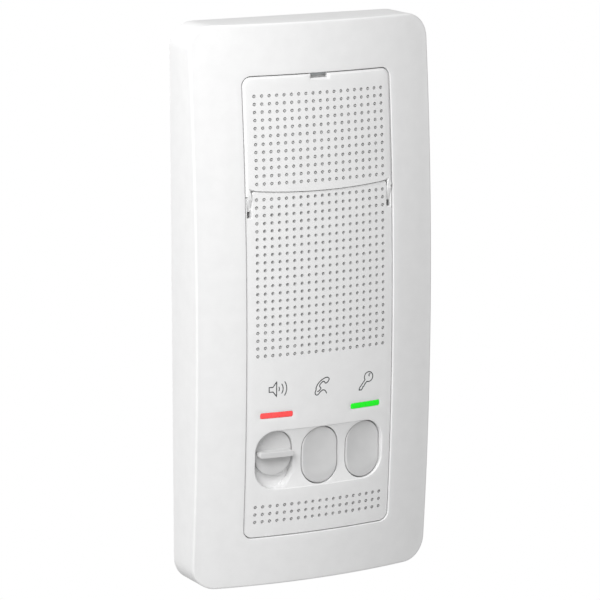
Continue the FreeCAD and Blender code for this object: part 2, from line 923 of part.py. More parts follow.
def tray_walls():
    """A wall round the wiring space. The service cover rests on its three outer sides."""
    front = s.chassis_back + s.chassis_thickness
    half_w, half_h = window_half()
    outer = panel_outline("tray_outer", front - s.seat_sink, beyond())
    inner = panel_inside("tray_inner", front - 1, beyond())
    ring = cut("tray_ring", outer, inner)
    above = box("tray_above", (-half_w - 1, half_w + 1), (1, beyond()), (s.tray_foot, half_h + 1))
    rest = pillow("tray_rest", s.cover_skin + s.cover_rest)
    sides = common("tray_sides", ring, above, rest)
    foot_z = (s.tray_foot, s.tray_foot + s.tray_foot_wall)
    foot_w = half_w - s.skirt / 2
    foot = box("tray_foot_full", (-foot_w, foot_w), (front - s.seat_sink, beyond()), foot_z)
    under = pillow("tray_foot_rest", s.panel_recess + s.panel_skin + s.cover_rest)
    foot = common("tray_foot_wall", foot, under)
    slots = [leg_slot("tray_slot_%d" % i, sign) for i, sign in enumerate(BOTH, 1)]
    top = half_h - s.skirt
    latch_half = s.latch_width / 2 + s.panel_gap
    channel = box(
        "latch_channel", (-latch_half, latch_half), (front + s.skirt, beyond()),
        (top - s.panel_gap, top + s.skirt / 2))
    return cut("tray_walls", fuse("tray_walls_full", sides, foot), channel, *slots)


# Service cover: lifts at the notch and swings out on two short legs

def make_service_cover():
    half_w, half_h = window_half()
    centre = s.seam_height + s.seam_gap / 2 + s.seam_radius
    outline = common(
        "cover_outline", panel_outline("cover_block", 1, beyond()),
        rod("cover_seam", 0, centre, s.seam_radius, 1, beyond()))
    shoulders = []
    for i, sign in enumerate(BOTH, 1):
        x = ordered(sign * (s.leg_place - s.leg_width / 2), sign * half_w)
        shoulders.append(box("cover_shoulder_%d" % i, x, (1, beyond()), (s.shoulder_height, s.leg_root)))
    front, under = pillow("cover_front", 0), pillow("cover_underside", s.cover_skin)
    shell = cut("cover_shell", common("cover_solid", fuse("cover_area", outline, *shoulders), front), under)
    rebate = cut(
        "cover_rebate_area",
        box("cover_low_edge", (-s.leg_place + s.leg_width, s.leg_place - s.leg_width),
            (1, beyond()), (s.seam_height - 1, s.leg_root)),
        rod("cover_rebate_seam", 0, centre + s.seam_rebate, s.seam_radius, 0, beyond() + 1))
    rebate = common("cover_rebate", rebate, pillow("cover_rebate_depth", s.cover_skin / 2))
    notch_half = s.notch_width / 2
    notch = box(
        "cover_notch", (-notch_half, notch_half), (1, beyond()), (half_h - s.notch_height, half_h + 1))
    shell = cut("cover_skin_cut", shell, rebate, notch)
    legs = [cover_leg(i, sign) for i, sign in enumerate(BOTH, 1)]
    node("service_cover", fuse("service_cover", shell, latch_tab(), *legs))


def cover_leg(number, sign):
    """A leg that slopes down into its slot and ends at a pin."""
    x = leg_span(sign)
    back = s.pivot_height - s.leg_tail
    foot = s.pivot_level - s.leg_tail
    full = box("leg_bar_%d" % number, x, (back, beyond()), (foot, s.leg_root))
    leg = common("leg_under_front_%d" % number, full, pillow("leg_front_%d" % number, 0))
    run = s.leg_ramp_start - foot
    start = surface(sign * s.leg_place, s.leg_ramp_start)
    body = doc.addObject("PartDesign::Body", "leg_ramp_%d" % number)
    sketch = new_sketch(body, "leg_ramp_profile_%d" % number, role="YZ_Plane", lift=x[0] - 1)
    draw_polygon(sketch, [
        (-start, s.leg_ramp_start),
        (-start + s.leg_ramp_depth, s.leg_ramp_start - run),
        (-start + s.leg_ramp_depth, s.leg_ramp_start - run - 1),
        (-start - 2, s.leg_ramp_start - run - 1),
        (-start - 2, s.leg_ramp_start),
    ])
    pad(body, "leg_ramp_pad_%d" % number, sketch, s.leg_width + 2)
    inner = s.leg_place - s.leg_width / 2
    reach = ordered(sign * (inner - s.pivot_length), sign * (inner + s.leg_width / 2))
    pin = cross_rod("leg_pin_%d" % number, reach, s.pivot_height, s.pivot_level, s.pivot_radius)
    return fuse("leg_%d" % number, cut("leg_ramped_%d" % number, leg, body), pin)


def latch_tab():
    top = window_half()[1] - s.skirt - s.latch_gap
    reach = surface(0, top, s.cover_skin) - s.latch_reach
    full = box(
        "latch_full", (-s.latch_width / 2, s.latch_width / 2), (reach, beyond()),
        (top - s.latch_thickness, top))
    return common("latch_tab", full, pillow("latch_limit", s.cover_skin / 2))


# Buttons and knob

def dish(name, x, depth):
    """A large ball that presses a shallow dish into the front of a key."""
    made = doc.addObject("Part::Sphere", name)
    bind(made, Radius=s.dish_radius)
    lift = s.dish_radius - depth + s.pillow_across
    ratio = x / s.pillow_across
    out = surface(0, s.button_level) - s.pillow_across
    place(made, lift * ratio, out + lift * root(1 - ratio * ratio), s.button_level)
    return made


def make_button(name, x):
    width = s.well_width - 2 * s.button_gap
    height = s.well_height - 2 * s.button_gap
    foot = s.well_bottom - s.button_seat - s.button_flange_height
    body = obround(name + "_cap", x, s.button_level, width, height, foot, beyond())
    cap = common(name + "_front", body, pillow(name + "_edge", s.button_edge))
    cap = cut(name + "_dished", cap, dish(name + "_dish", x, s.button_dish))
    inner = obround(
        name + "_inner", x, s.button_level, width - 2 * s.button_wall,
        height - 2 * s.button_wall, foot - 1, beyond())
    roof = pillow(name + "_roof", s.button_dish + s.button_wall)
    shell = cut(name + "_shell", cap, common(name + "_hollow", inner, roof))
    brim = obround(
        name + "_brim", x, s.button_level, s.well_width + 2 * s.button_flange,
        s.well_height + 2 * s.button_flange, foot, s.well_bottom - s.button_seat)
    flange = cut(name + "_flange", brim, obround(
        name + "_brim_bore", x, s.button_level, width - 2 * s.button_wall,
        height - 2 * s.button_wall, foot - 1, s.well_bottom))
    reach = surface(x, s.button_level, s.button_dish + s.button_wall / 2)
    stem = rod(name + "_stem", x, s.button_level, s.stem_radius, s.stem_end, reach)
    node(name, fuse(name, shell, flange, stem))


def make_volume_knob():
    x, level = -s.button_pitch, knob_level()
    back = s.recess_floor + s.knob_lift
    body = obround("knob_body", x, level, s.knob_width, s.knob_height, back, beyond())
    plate = common("knob_front", body, pillow("knob_edge", s.knob_edge))
    ball = dish("knob_dish", x, s.knob_dish)
    ball.setExpression("Placement.Base.z", level.text)
    plate = cut("knob_plate", plate, ball)
    half_w, half_h = s.knob_width / 2 - s.button_gap / 2, s.ridge_height / 2
    bar = rounded_prism(
        "ridge_body", (x - half_w, x + half_w), (level - half_h, level + half_h),
        half_h - s.end_slack, back, beyond())
    bar = common("ridge_full", bar, pillow("ridge_top", -s.ridge_rise))
    ridge = round_edges("ridge", bar, s.ridge_round, is_ridge_rim)
    stem_w, stem_h = s.knob_stem_width / 2, s.knob_stem_height / 2
    stem = box(
        "knob_stem", (x - stem_w, x + stem_w), (s.knob_stem_end, back + s.knob_lift),
        (level - stem_h, level + stem_h))
    hold_w, hold_h = s.lever_width / 2 + s.lever_fit, s.lever_height / 2 + s.lever_fit
    socket = box(
        "knob_socket", (x - hold_w, x + hold_w), (s.knob_stem_end - 1, s.lever_end + s.lever_fit),
        (level - hold_h, level + hold_h))
    node("volume_knob", cut("volume_knob", fuse("knob_solid", plate, ridge, stem), socket))


def is_ridge_rim(edge):
    front = surface(-s.button_pitch, knob_level(), -s.ridge_rise).value
    return edge.BoundBox.YMax < -(front - 2 * s.ridge_height.value) and edge.BoundBox.YLength < 2


def make_light_bar(name, x):
    outer = s.button_pitch + s.bar_width / 2 + s.bar_flange
    floor = surface(outer, s.bar_level, s.panel_recess + s.panel_skin) - s.bar_fit
    head = light_bar(name + "_head", x, 0, floor - s.bar_fit, beyond())
    head = common(name + "_front", head, pillow(name + "_top", s.panel_recess - s.bar_proud))
    low = s.chassis_back + s.chassis_thickness + s.bar_fit
    brim = light_bar(name + "_brim", x, s.bar_flange, low, floor)
    stem_w, stem_h = s.bar_stem / 2, s.bar_height / 2
    stem = box(
        name + "_stem", (x - stem_w, x + stem_w), (s.bar_end, floor - s.bar_fit),
        (s.bar_level - stem_h, s.bar_level + stem_h))
    node(name, fuse(name, head, brim, stem))


def make_button_guide():
    low = s.chassis_back - s.guide_thickness
    half_w, half_h = s.guide_width / 2, s.guide_height / 2
    plate = rounded_prism(
        "guide_plate", (-half_w, half_w), (s.button_level - half_h, s.button_level + half_h),
        s.board_corner, low, s.chassis_back)
    holes = new_sketch(plate, "guide_holes", lift=s.chassis_back)
    for x in (-s.guide_screw_x, s.guide_screw_x):
        draw_circle(holes, x, s.button_level, s.screw_radius + s.screw_fit)
    slot_w = s.knob_stem_width / 2 + s.button_gap
    top = knob_level() + s.knob_stem_height / 2 + s.button_gap
    bottom = knob_level() - s.knob_travel - s.knob_stem_height / 2 - s.button_gap
    draw_rounded(
        holes, (-s.button_pitch - slot_w, -s.button_pitch + slot_w), (bottom, top), s.bar_corner)
    pocket(plate, "guide_pocket", holes, s.guide_thickness * 2)
    bushes, bores = [], []
    for i, x in enumerate(well_columns()[1:], 1):
        bore = s.stem_radius + s.stem_fit
        bushes.append(rod(
            "guide_bush_%d" % i, x, s.button_level, bore + s.bush_wall, low,
            s.chassis_back + s.bush_height))
        bores.append(rod("guide_bore_%d" % i, x, s.button_level, bore, 1, beyond()))
    node("button_guide", cut("button_guide", fuse("guide_solid", plate, *bushes), *bores))


# Circuit board and what is on it

def make_circuit_board():
    front = s.board_back + s.board_thickness
    half_w, half_h = s.board_width / 2, s.board_height / 2
    board = rounded_prism(
        "board_body", (-half_w, half_w), (-half_h, half_h), s.board_corner, s.board_back, front)
    holes = new_sketch(board, "board_holes", lift=front)
    for x, z in board_screw_places():
        draw_circle(holes, x, z, s.screw_radius + s.screw_fit)
    for x, z in mirrored_places(s.lock_screw_x, (s.lock_screw_z,)):
        draw_circle(holes, x, z, s.lock_boss + s.screw_fit * 2)
    pocket(board, "board_hole_pocket", holes, s.board_thickness * 2)
    notch = new_sketch(board, "board_notch", lift=front)
    draw_rounded(
        notch, (-s.board_notch_width / 2, s.board_notch_width / 2),
        (s.board_notch_foot, half_h + s.board_corner * 2), s.board_corner)
    pocket(board, "board_notch_pocket", notch, s.board_thickness * 2)
    node("circuit_board", board)


def on_board(name, x, z, width, depth, height):
    """A rectangular part that stands on the board."""
    base = s.board_back + s.board_thickness
    return box(
        name, (x - width / 2, x + width / 2), (base, base + height), (z - depth / 2, z + depth / 2))


def make_switches():
    bodies = []
    for i, x in enumerate(well_columns()[1:], 1):
        name = "switch_%d" % i
        body = on_board(name + "_body", x, s.button_level, s.switch_side, s.switch_side, s.switch_body)
        bore = s.plunger_radius + s.plunger_fit
        low = s.plunger_foot - s.button_travel - s.plunger_fit
        bodies.append(cut(name, body, rod(name + "_bore", x, s.button_level, bore, low, beyond())))
        plunger = rod(name + "_plunger", x, s.button_level, s.plunger_radius, s.plunger_foot, s.stem_end)
        node(("talk_plunger", "door_plunger")[i - 1], plunger)
    node("switch_bodies", group("switch_bodies", *bodies))


def make_slide_pot():
    x = -s.button_pitch
    middle = knob_level() - s.knob_travel / 2
    body = on_board("pot_block", x, middle, s.pot_width, s.pot_height, s.pot_body)
    base = s.board_back + s.board_thickness
    reach = s.knob_travel / 2 + s.lever_height / 2 + s.pot_slot
    slot_w = s.lever_width / 2 + s.pot_slot / 4
    track = box(
        "pot_track", (x - slot_w, x + slot_w), (base + s.pot_slot, beyond()),
        (middle - reach, middle + reach))
    node("slide_pot", cut("slide_pot", body, track))
    half_w, half_h = s.lever_width / 2, s.lever_height / 2
    lever = box(
        "pot_lever", (x - half_w, x + half_w), (base + 2 * s.pot_slot, s.lever_end),
        (knob_level() - half_h, knob_level() + half_h))
    node("pot_lever", lever)


def make_leds():
    for name, sign in (("red_led", -1), ("green_led", 1)):
        x = sign * s.button_pitch
        node(name, on_board(name, x, s.bar_level, s.led_side, s.led_side, s.led_height))


def terminal_places():
    count = int(s.terminal_count.value)
    return [s.terminal_pitch * (i - (count - 1) / 2) for i in range(count)]


def make_terminal_block():
    width = s.terminal_pitch * s.terminal_count + s.slot_clearance * 4
    base = s.board_back + s.board_thickness
    top = base + s.terminal_height
    half_d = s.terminal_depth / 2
    block = on_board(
        "terminal_body", formula(0), s.terminal_level, width, s.terminal_depth, s.terminal_height)
    tools = []
    screws = []
    for i, x in enumerate(terminal_places(), 1):
        entry_w, entry_h = s.terminal_entry_width / 2, s.terminal_entry_height
        tools.append(box(
            "terminal_entry_%d" % i, (x - entry_w, x + entry_w), (base + 1, base + 1 + entry_h),
            (s.terminal_level - half_d / 2, s.terminal_level + half_d + 1)))
        well_floor = base + 1 + entry_h
        tools.append(rod("terminal_well_%d" % i, x, s.terminal_level, s.terminal_well, well_floor, top + 1))
        head = rod(
            "terminal_head_%d" % i, x, s.terminal_level, s.terminal_screw, base + 1 + s.slot_clearance,
            top - s.terminal_screw)
        half = s.terminal_screw * 2
        slot = box(
            "terminal_slot_%d" % i, (x - half, x + half),
            (top - s.terminal_screw - s.terminal_slot_depth, top),
            (s.terminal_level - s.recess_width / 2, s.terminal_level + s.recess_width / 2))
        screws.append(cut("terminal_screw_%d" % i, head, slot))
    node("terminal_block", cut("terminal_block", block, *tools))
    node("terminal_screws", group("terminal_screws", *screws))


CAPACITOR_PLACES = ((29.5, 24.0), (29.5, 14.0), (-29.5, 20.0), (-29.5, 10.0))
CHIP_PLACES = ((6.0, -24.0), (-12.0, -24.0))


def make_board_parts():
    """Filter capacitors, amplifier and control chips, and the small parts about them."""
    base = s.board_back + s.board_thickness
    cans = []
    for i, (x, z) in enumerate(CAPACITOR_PLACES, 1):
        side = s.cap_can_radius * 2
        foot = on_board("can_foot_%d" % i, formula(x), formula(z), side, side, s.cap_base_height)
        can = rod(
            "can_%d" % i, x, z, s.cap_can_radius - s.slot_clearance, base + s.cap_base_height / 2,
            base + s.cap_can_height)
        cans.append(fuse("capacitor_%d" % i, foot, can))
    node("capacitors", group("capacitors", *cans))
    chips = []
    for i, (x, z) in enumerate(CHIP_PLACES, 1):
        chips.append(on_board(
            "chip_%d" % i, formula(x), formula(z), s.chip_length, s.chip_width, s.chip_height))
    node("amplifier_chips", group("amplifier_chips", *chips))
    small = []
    for row in range(3):
        for column in range(8):
            x = s.part_column * column + s.part_gap * int(column > 3) - s.part_left
            z = s.part_row * row - s.part_top
            small.append(on_board(
                "small_part_%d_%d" % (row, column), x, z,
                s.part_length, s.part_width, s.part_height))
    node("small_parts", group("small_parts", *small))


HEADERS = {"speaker_header": (30.0, -6.0), "mic_header": (14.0, -66.0)}


def make_headers():
    for name, (x, z) in HEADERS.items():
        shell = on_board(
            name + "_shell", formula(x), formula(z), s.header_width, s.header_depth, s.header_height)
        base = s.board_back + s.board_thickness
        half_w, half_d = s.header_width / 2, s.header_depth / 2 - 1
        well = box(
            name + "_well", (x - half_w - 1, x + half_w - 1), (base + 1, base + s.header_height - 1),
            (z - half_d, z + half_d))
        node(name, cut(name, shell, well))


# Loudspeaker

def speaker_layer(name, shrink, low, high):
    """A flat layer with the flange's outline and its four screw holes."""
    plate = speaker_outline(name + "_plate", s.speaker_corner, 0, low, high)
    tools = [
        rod("%s_hole_%d" % (name, i), x, z, s.screw_radius + s.screw_fit, low - 1, high + 1)
        for i, (x, z) in enumerate(speaker_screw_places(), 1)
    ]
    if shrink:
        tools.append(speaker_outline(
            name + "_bore", s.seat_corner, shrink, low - 1, high + 1))
    return cut(name, plate, *tools)


def make_speaker():
    seat = s.speaker_seat
    cloth_back = seat - s.cloth_thickness
    gasket_back = cloth_back - s.gasket_thickness
    flange_back = speaker_back()
    level = s.speaker_level
    mouth, wall = s.speaker_mouth, s.basket_wall
    node("dust_cloth", speaker_layer("dust_cloth", 0, cloth_back, seat))
    node("speaker_gasket", speaker_layer("speaker_gasket", s.seat_width, gasket_back, cloth_back))
    flange = cut(
        "speaker_flange", speaker_layer("speaker_rim", 0, flange_back, gasket_back),
        rod("flange_bore", 0, level, mouth + wall / 2, flange_back - 1, gasket_back + 1))
    basket = turned("basket_cup", [
        (s.magnet_bore, s.basket_bottom), (s.basket_waist, s.basket_bottom),
        (mouth + wall, flange_back), (mouth + wall, gasket_back),
        (mouth, gasket_back), (mouth, flange_back),
        (s.basket_waist - wall, s.basket_bottom + wall),
        (s.magnet_bore, s.basket_bottom + wall)], z=level)
    tag_low = s.basket_bottom - s.tag_thickness + wall / 2
    tag = box(
        "speaker_tag", (s.basket_waist - wall, s.basket_waist + s.tag_length),
        (tag_low, tag_low + s.tag_thickness), (level - s.tag_width / 2, level + s.tag_width / 2))
    node("speaker_basket", fuse("speaker_basket", flange, basket, tag))
    plate_low = s.basket_bottom - s.top_plate_thickness
    magnet_low = plate_low - s.magnet_thickness
    yoke_low = magnet_low - s.yoke_thickness
    node("speaker_top_plate", turned("speaker_top_plate", [
        (s.magnet_bore, plate_low), (s.magnet_radius, plate_low),
        (s.magnet_radius, s.basket_bottom), (s.magnet_bore, s.basket_bottom)], z=level))
    node("speaker_magnet", turned("speaker_magnet", [
        (s.magnet_bore + 1, magnet_low), (s.magnet_radius, magnet_low),
        (s.magnet_radius, plate_low), (s.magnet_bore + 1, plate_low)], z=level))
    node("speaker_yoke", turned("speaker_yoke", [
        (0, yoke_low), (s.magnet_radius - 1, yoke_low), (s.magnet_radius - 1, magnet_low),
        (s.pole_radius, magnet_low), (s.pole_radius, s.basket_bottom), (0, s.basket_bottom)], z=level))
    coil_low = s.basket_bottom - s.coil_length / 2
    coil_high = coil_low + s.coil_length
    node("voice_coil", turned("voice_coil", [
        (s.coil_radius, coil_low), (s.coil_radius + s.coil_wall, coil_low),
        (s.coil_radius + s.coil_wall, coil_high), (s.coil_radius, coil_high)], z=level))
    rim = mouth
    inner = rim - s.surround_width
    high = gasket_back - s.cone_wall / 4
    crest = high + s.surround_rise / 2
    neck = s.coil_radius + s.coil_wall
    skin = s.cone_wall
    node("speaker_cone", turned("speaker_cone", [
        (neck, coil_high), (neck + skin, coil_high - skin), (inner, high - s.surround_rise),
        (inner + s.surround_width / 3, crest - skin), (inner + s.surround_width * 2 / 3, crest - skin),
        (rim, high - skin * 2), (rim, high - skin), (inner + s.surround_width * 2 / 3, crest),
        (inner + s.surround_width / 3, crest), (inner, high - s.surround_rise + skin),
        (neck, coil_high + skin)], z=level))
    cap_foot = coil_high + skin + s.slot_clearance
    shoulder, shoulder_high = s.cap_radius * 2 / 3, cap_foot + s.cap_rise * 3 / 4
    node("speaker_dust_cap", turned("speaker_dust_cap", [
        (0, cap_foot + s.cap_rise - skin), (shoulder - skin / 2, shoulder_high - skin),
        (s.cap_radius - skin, cap_foot), (s.cap_radius, cap_foot),
        (shoulder, shoulder_high), (0, cap_foot + s.cap_rise)], z=level))


# Microphone

def make_microphone():
    radius = s.mic_radius
    back = s.mic_front - s.mic_length
    node("mic_capsule", turned("mic_capsule", [
        (0, back), (radius, back), (radius, s.mic_front), (0, s.mic_front)], z=s.mic_level))
    outer = radius + s.boot_wall
    lip = radius - s.boot_wall
    node("mic_boot", turned("mic_boot", [
        (radius, back), (lip, back), (lip, s.boot_back), (outer, s.boot_back),
        (outer, s.boot_front), (lip, s.boot_front), (lip, s.mic_front), (radius, s.mic_front)],
        z=s.mic_level))


# Back plate: screwed to the wall first, the rest hooks on to it

def make_back_plate():
    half_w = s.plate_width / 2 - s.frame_wall - s.back_gap
    half_h = s.plate_height / 2 - s.frame_wall - s.back_gap
    corner = s.plate_corner - s.frame_wall - s.back_gap
    plate = rounded_prism(
        "back_slab", (-half_w, half_w), (-half_h, half_h), corner, 0, s.back_thickness)
    holes = new_sketch(plate, "back_openings", lift=s.back_thickness)
    for sign_x in BOTH:
        for sign_z in BOTH:
            x, z = sign_x * s.wall_slot_x, sign_z * s.wall_slot_z
            reach, radius = s.wall_slot_length / 2, s.wall_slot_radius
            draw_rounded(holes, (x - reach, x + reach), (z - radius, z + radius), radius - s.end_slack)
    draw_rounded(
        holes, (-s.entry_width / 2, s.entry_width / 2),
        (s.entry_foot, s.entry_foot + s.entry_height), s.entry_corner)
    pocket(plate, "back_pocket", holes, s.back_thickness * 2)
    extras, pilots = [], []
    for i, (x, z) in enumerate(mirrored_places(s.lock_screw_x, (s.lock_screw_z,)), 1):
        top = s.chassis_back - s.hook_gap
        extras.append(rod("lock_boss_%d" % i, x, z, s.lock_boss, s.back_thickness / 2, top))
        floor = s.chassis_back + s.chassis_thickness - s.screw_length * 2
        pilots.append(rod("lock_pilot_%d" % i, x, z, s.screw_radius, floor, top + 1))
    wall_inside = -s.plate_height / 2 + s.frame_wall
    lip_low = s.hook_ledge_high + s.hook_gap
    for i, sign in enumerate(BOTH, 1):
        wide = (sign * s.hook_x - s.hook_width / 2, sign * s.hook_x + s.hook_width / 2)
        stem_z = wall_inside + s.hook_ledge_reach + s.hook_gap
        heights = (s.back_thickness / 2, lip_low + s.hook_lip)
        extras.append(box("hook_stem_%d" % i, wide, heights, (stem_z, stem_z + s.hook_wall)))
        extras.append(box(
            "hook_lip_%d" % i, wide, (lip_low, lip_low + s.hook_lip),
            (wall_inside + s.hook_gap, stem_z + s.hook_wall)))
    node("back_plate", cut("back_plate", fuse("back_solid", plate, *extras), *pilots))


# Screws

def screw_group(name, places, seat, forward, length, head=None):
    screws = [
        screw("%s_%d" % (name, i), formula(x), formula(z), seat, forward, length, head)
        for i, (x, z) in enumerate(places, 1)
    ]
    node(name, group(name, *screws))


def make_screws():
    bite = s.screw_length - s.screw_bite
    frame_places = mirrored_places(s.frame_screw_x, (-s.frame_screw_z, s.frame_screw_z))
    screw_group("frame_screws", frame_places, s.chassis_back, True, bite)
    screw_group("panel_screws", panel_screw_places(), s.chassis_back, True, bite)
    screw_group("board_screws", board_screw_places(), s.board_back, True, bite)
    guide_places = [(-s.guide_screw_x, s.button_level), (s.guide_screw_x, s.button_level)]
    screw_group("guide_screws", guide_places, s.chassis_back - s.guide_thickness, True, s.guide_screw_length)
    lock_seat = s.chassis_back + s.chassis_thickness
    lock_places = mirrored_places(s.lock_screw_x, (s.lock_screw_z,))
    screw_group("lock_screws", lock_places, lock_seat, False, s.screw_length * 2 - s.screw_bite)
    speaker_bite = s.speaker_screw_length - s.screw_bite
    screw_group(
        "speaker_screws", speaker_screw_places(), speaker_back(), True, speaker_bite,
        s.speaker_screw_head)


# Internal leads, from the loudspeaker and the microphone to their headers

ARC_SHARE = 0.45  # how much of its shorter run each arc takes


def bent_wire(points, radius):
    """A tube along straight runs joined by tangent arcs."""
    edges = []
    start = points[0]
    for before, corner, after in zip(points, points[1:], points[2:]):
        arriving, leaving = (corner - before), (after - corner)
        turn = arriving.getAngle(leaving)
        shorter = min(arriving.Length, leaving.Length)
        inset = ARC_SHARE * shorter
        bend = inset / math.tan(turn / 2)
        print("lead bend radius %.2f" % bend)
        arriving.normalize()
        leaving.normalize()
        first, last = corner - arriving * inset, corner + leaving * inset
        towards = (leaving - arriving).normalize()
        middle = corner + towards * (bend / math.cos(turn / 2) - bend)
        edges.append(Part.LineSegment(start, first).toShape())
        edges.append(Part.Arc(first, middle, last).toShape())
        start = last
    edges.append(Part.LineSegment(start, points[-1]).toShape())
    path = Part.Wire(edges)
    along = points[1] - points[0]
    section = Part.Wire(Part.makeCircle(radius, points[0], along))
    tube = path.makePipeShell([section], True, False)
    print("lead volume ratio %.3f" % (tube.Volume / (math.pi * radius ** 2 * path.Length)))
    return tube


def lead_pair(name, points, spread):
    """Two wires side by side along one route of (x, height, z) points."""
    tubes = []
    for sign in BOTH:
        offset = FreeCAD.Vector(*spread) * sign
        route = [FreeCAD.Vector(x, -height, z) + offset for x, height, z in points]
        tubes.append(bent_wire(route, s.wire_radius.value))
    made = doc.addObject("Part::Feature", name)
    made.Shape = Part.makeCompound(tubes)
    node(name, made)


def make_leads():
    """Each lead starts in its header and ends against the piece that it feeds."""
    plug = s.board_back.value + s.board_thickness.value + s.header_height.value / 2
    apart = s.wire_radius.value + s.wire_apart.value
    x, z = HEADERS["speaker_header"]
    level = s.speaker_level.value
    tag = s.basket_waist.value + s.tag_length.value
    tag_middle = s.basket_bottom.value - s.tag_thickness.value / 2 + s.basket_wall.value / 2
    lead_pair("speaker_leads", [
        (x + 1.5, plug, z), (x - 6.0, plug, z), (tag + 4.5, tag_middle, level),
        (tag, tag_middle, level)], (0.0, apart, 0.0))
    x, z = HEADERS["mic_header"]
    level = s.mic_level.value
    lead_pair("mic_leads", [
        (x + 1.5, plug, z), (x - 8.0, plug, z - 0.6), (0.0, plug + 1.0, level),
        (0.0, s.mic_front.value - s.mic_length.value, level)], (0.0, 0.0, apart))


def check_and_write():
    doc.recompute()
    for made in doc.Objects:
        bad = [state for state in made.State if state in ("Invalid", "Error")]
        if bad:
            raise RuntimeError("%s is %s" % (made.Name, bad))
    os.makedirs("parts", exist_ok=True)
    for name, made in nodes.items():
        shape = made.Shape
        if shape.isNull() or not shape.isValid() or shape.Volume <= 0:
            raise RuntimeError("%s has no sound shape" % name)
        shape.exportStep("parts/%s.step" % name)
        print("%-18s solids %2d  volume %9.1f" % (name, len(shape.Solids), shape.Volume))


make_back_plate()
make_front_frame()
make_chassis()
make_front_panel()
make_service_cover()
make_volume_knob()
make_button("talk_button", formula(0))
make_button("door_button", s.button_pitch)
make_light_bar("red_light_bar", -s.button_pitch)
make_light_bar("green_light_bar", s.button_pitch)
make_button_guide()
make_circuit_board()
make_switches()
make_slide_pot()
make_leds()
make_terminal_block()
make_board_parts()
make_headers()
make_speaker()
make_microphone()
make_screws()
make_leads()
check_and_write()
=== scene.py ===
import math

import bmesh
import bpy
import numpy as np
from mathutils import Euler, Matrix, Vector
from mathutils.geometry import delaunay_2d_cdt


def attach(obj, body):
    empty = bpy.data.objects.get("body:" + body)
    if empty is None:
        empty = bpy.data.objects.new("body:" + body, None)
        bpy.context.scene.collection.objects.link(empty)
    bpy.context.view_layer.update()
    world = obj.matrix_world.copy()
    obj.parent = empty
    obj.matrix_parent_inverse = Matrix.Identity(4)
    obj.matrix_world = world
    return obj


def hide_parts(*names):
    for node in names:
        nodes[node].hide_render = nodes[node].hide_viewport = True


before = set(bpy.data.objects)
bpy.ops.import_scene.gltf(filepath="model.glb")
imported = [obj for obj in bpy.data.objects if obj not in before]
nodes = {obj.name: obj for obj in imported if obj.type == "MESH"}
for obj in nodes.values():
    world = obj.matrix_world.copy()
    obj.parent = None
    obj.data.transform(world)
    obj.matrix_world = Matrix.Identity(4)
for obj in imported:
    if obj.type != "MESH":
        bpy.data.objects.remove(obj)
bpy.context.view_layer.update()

# Sizes are in millimetres, as in the solids, and build() turns them into metres.
# A height is measured off the wall, x to the right and z upwards, seen from the front.
mm = 0.001
plate = {"halfWidth": 43.0, "halfHeight": 92.0, "depth": 24.0, "corner": 8.0, "edge": 0.8,
         "across": 165.0, "along": 877.0,  # the dome's radii, side to side and up and down
         "wall": 2.0, "skin": 2.2, "footBevel": 0.15, "bend": 10, "side": 40, "bands": 8, "backBands": 4}
window = {"halfWidth": 26.8, "halfHeight": 75.6, "corner": 3.2, "gap": 0.3, "edge": 0.25}
endFlat = 0.05  # an obround's ends keep this much straight between their two corners
crease = math.radians(20)  # edges sharper than this stay crisp, and a fillet's steps are finer
hardEdge = math.radians(40)  # edges sharper than this are broken on the small moulded pieces
smallRing = 30  # a ring of no more points than this, such as a sound hole, isn't cleared of a lattice


def pillow(x, z, inset=0.0):
    # Height of the doubly curved front, or of a surface that runs inset behind it.
    tube = plate["across"] - inset
    ring = plate["along"] - plate["across"] + np.sqrt(tube * tube - x * x)
    return plate["depth"] - plate["along"] + np.sqrt(ring * ring - z * z)


def onPillow(inset=0.0):
    return lambda loop: pillow(loop[:, 0], loop[:, 1], inset)


# Colour and shading

finish = {"patch": 12, "detail": 2.0, "low": 0.3, "high": 0.7, "relief": 0.1}  # relief in mm


def linear(code):
    channels = [int(code[i:i + 2], 16) / 255 for i in (1, 3, 5)]
    return [c / 12.92 if c <= 0.04045 else ((c + 0.055) / 1.055) ** 2.4 for c in channels] + [1.0]


def addNode(tree, kind, settings=None, inputs=None, links=None):
    # One node with its settings, its fixed inputs and what its sockets are linked from.
    node = tree.nodes.new(kind)
    for name, value in (settings or {}).items():
        setattr(node, name, value)
    for name, value in (inputs or {}).items():
        node.inputs[name].default_value = value
    for name, source in (links or {}).items():
        tree.links.new(source, node.inputs[name])
    return node


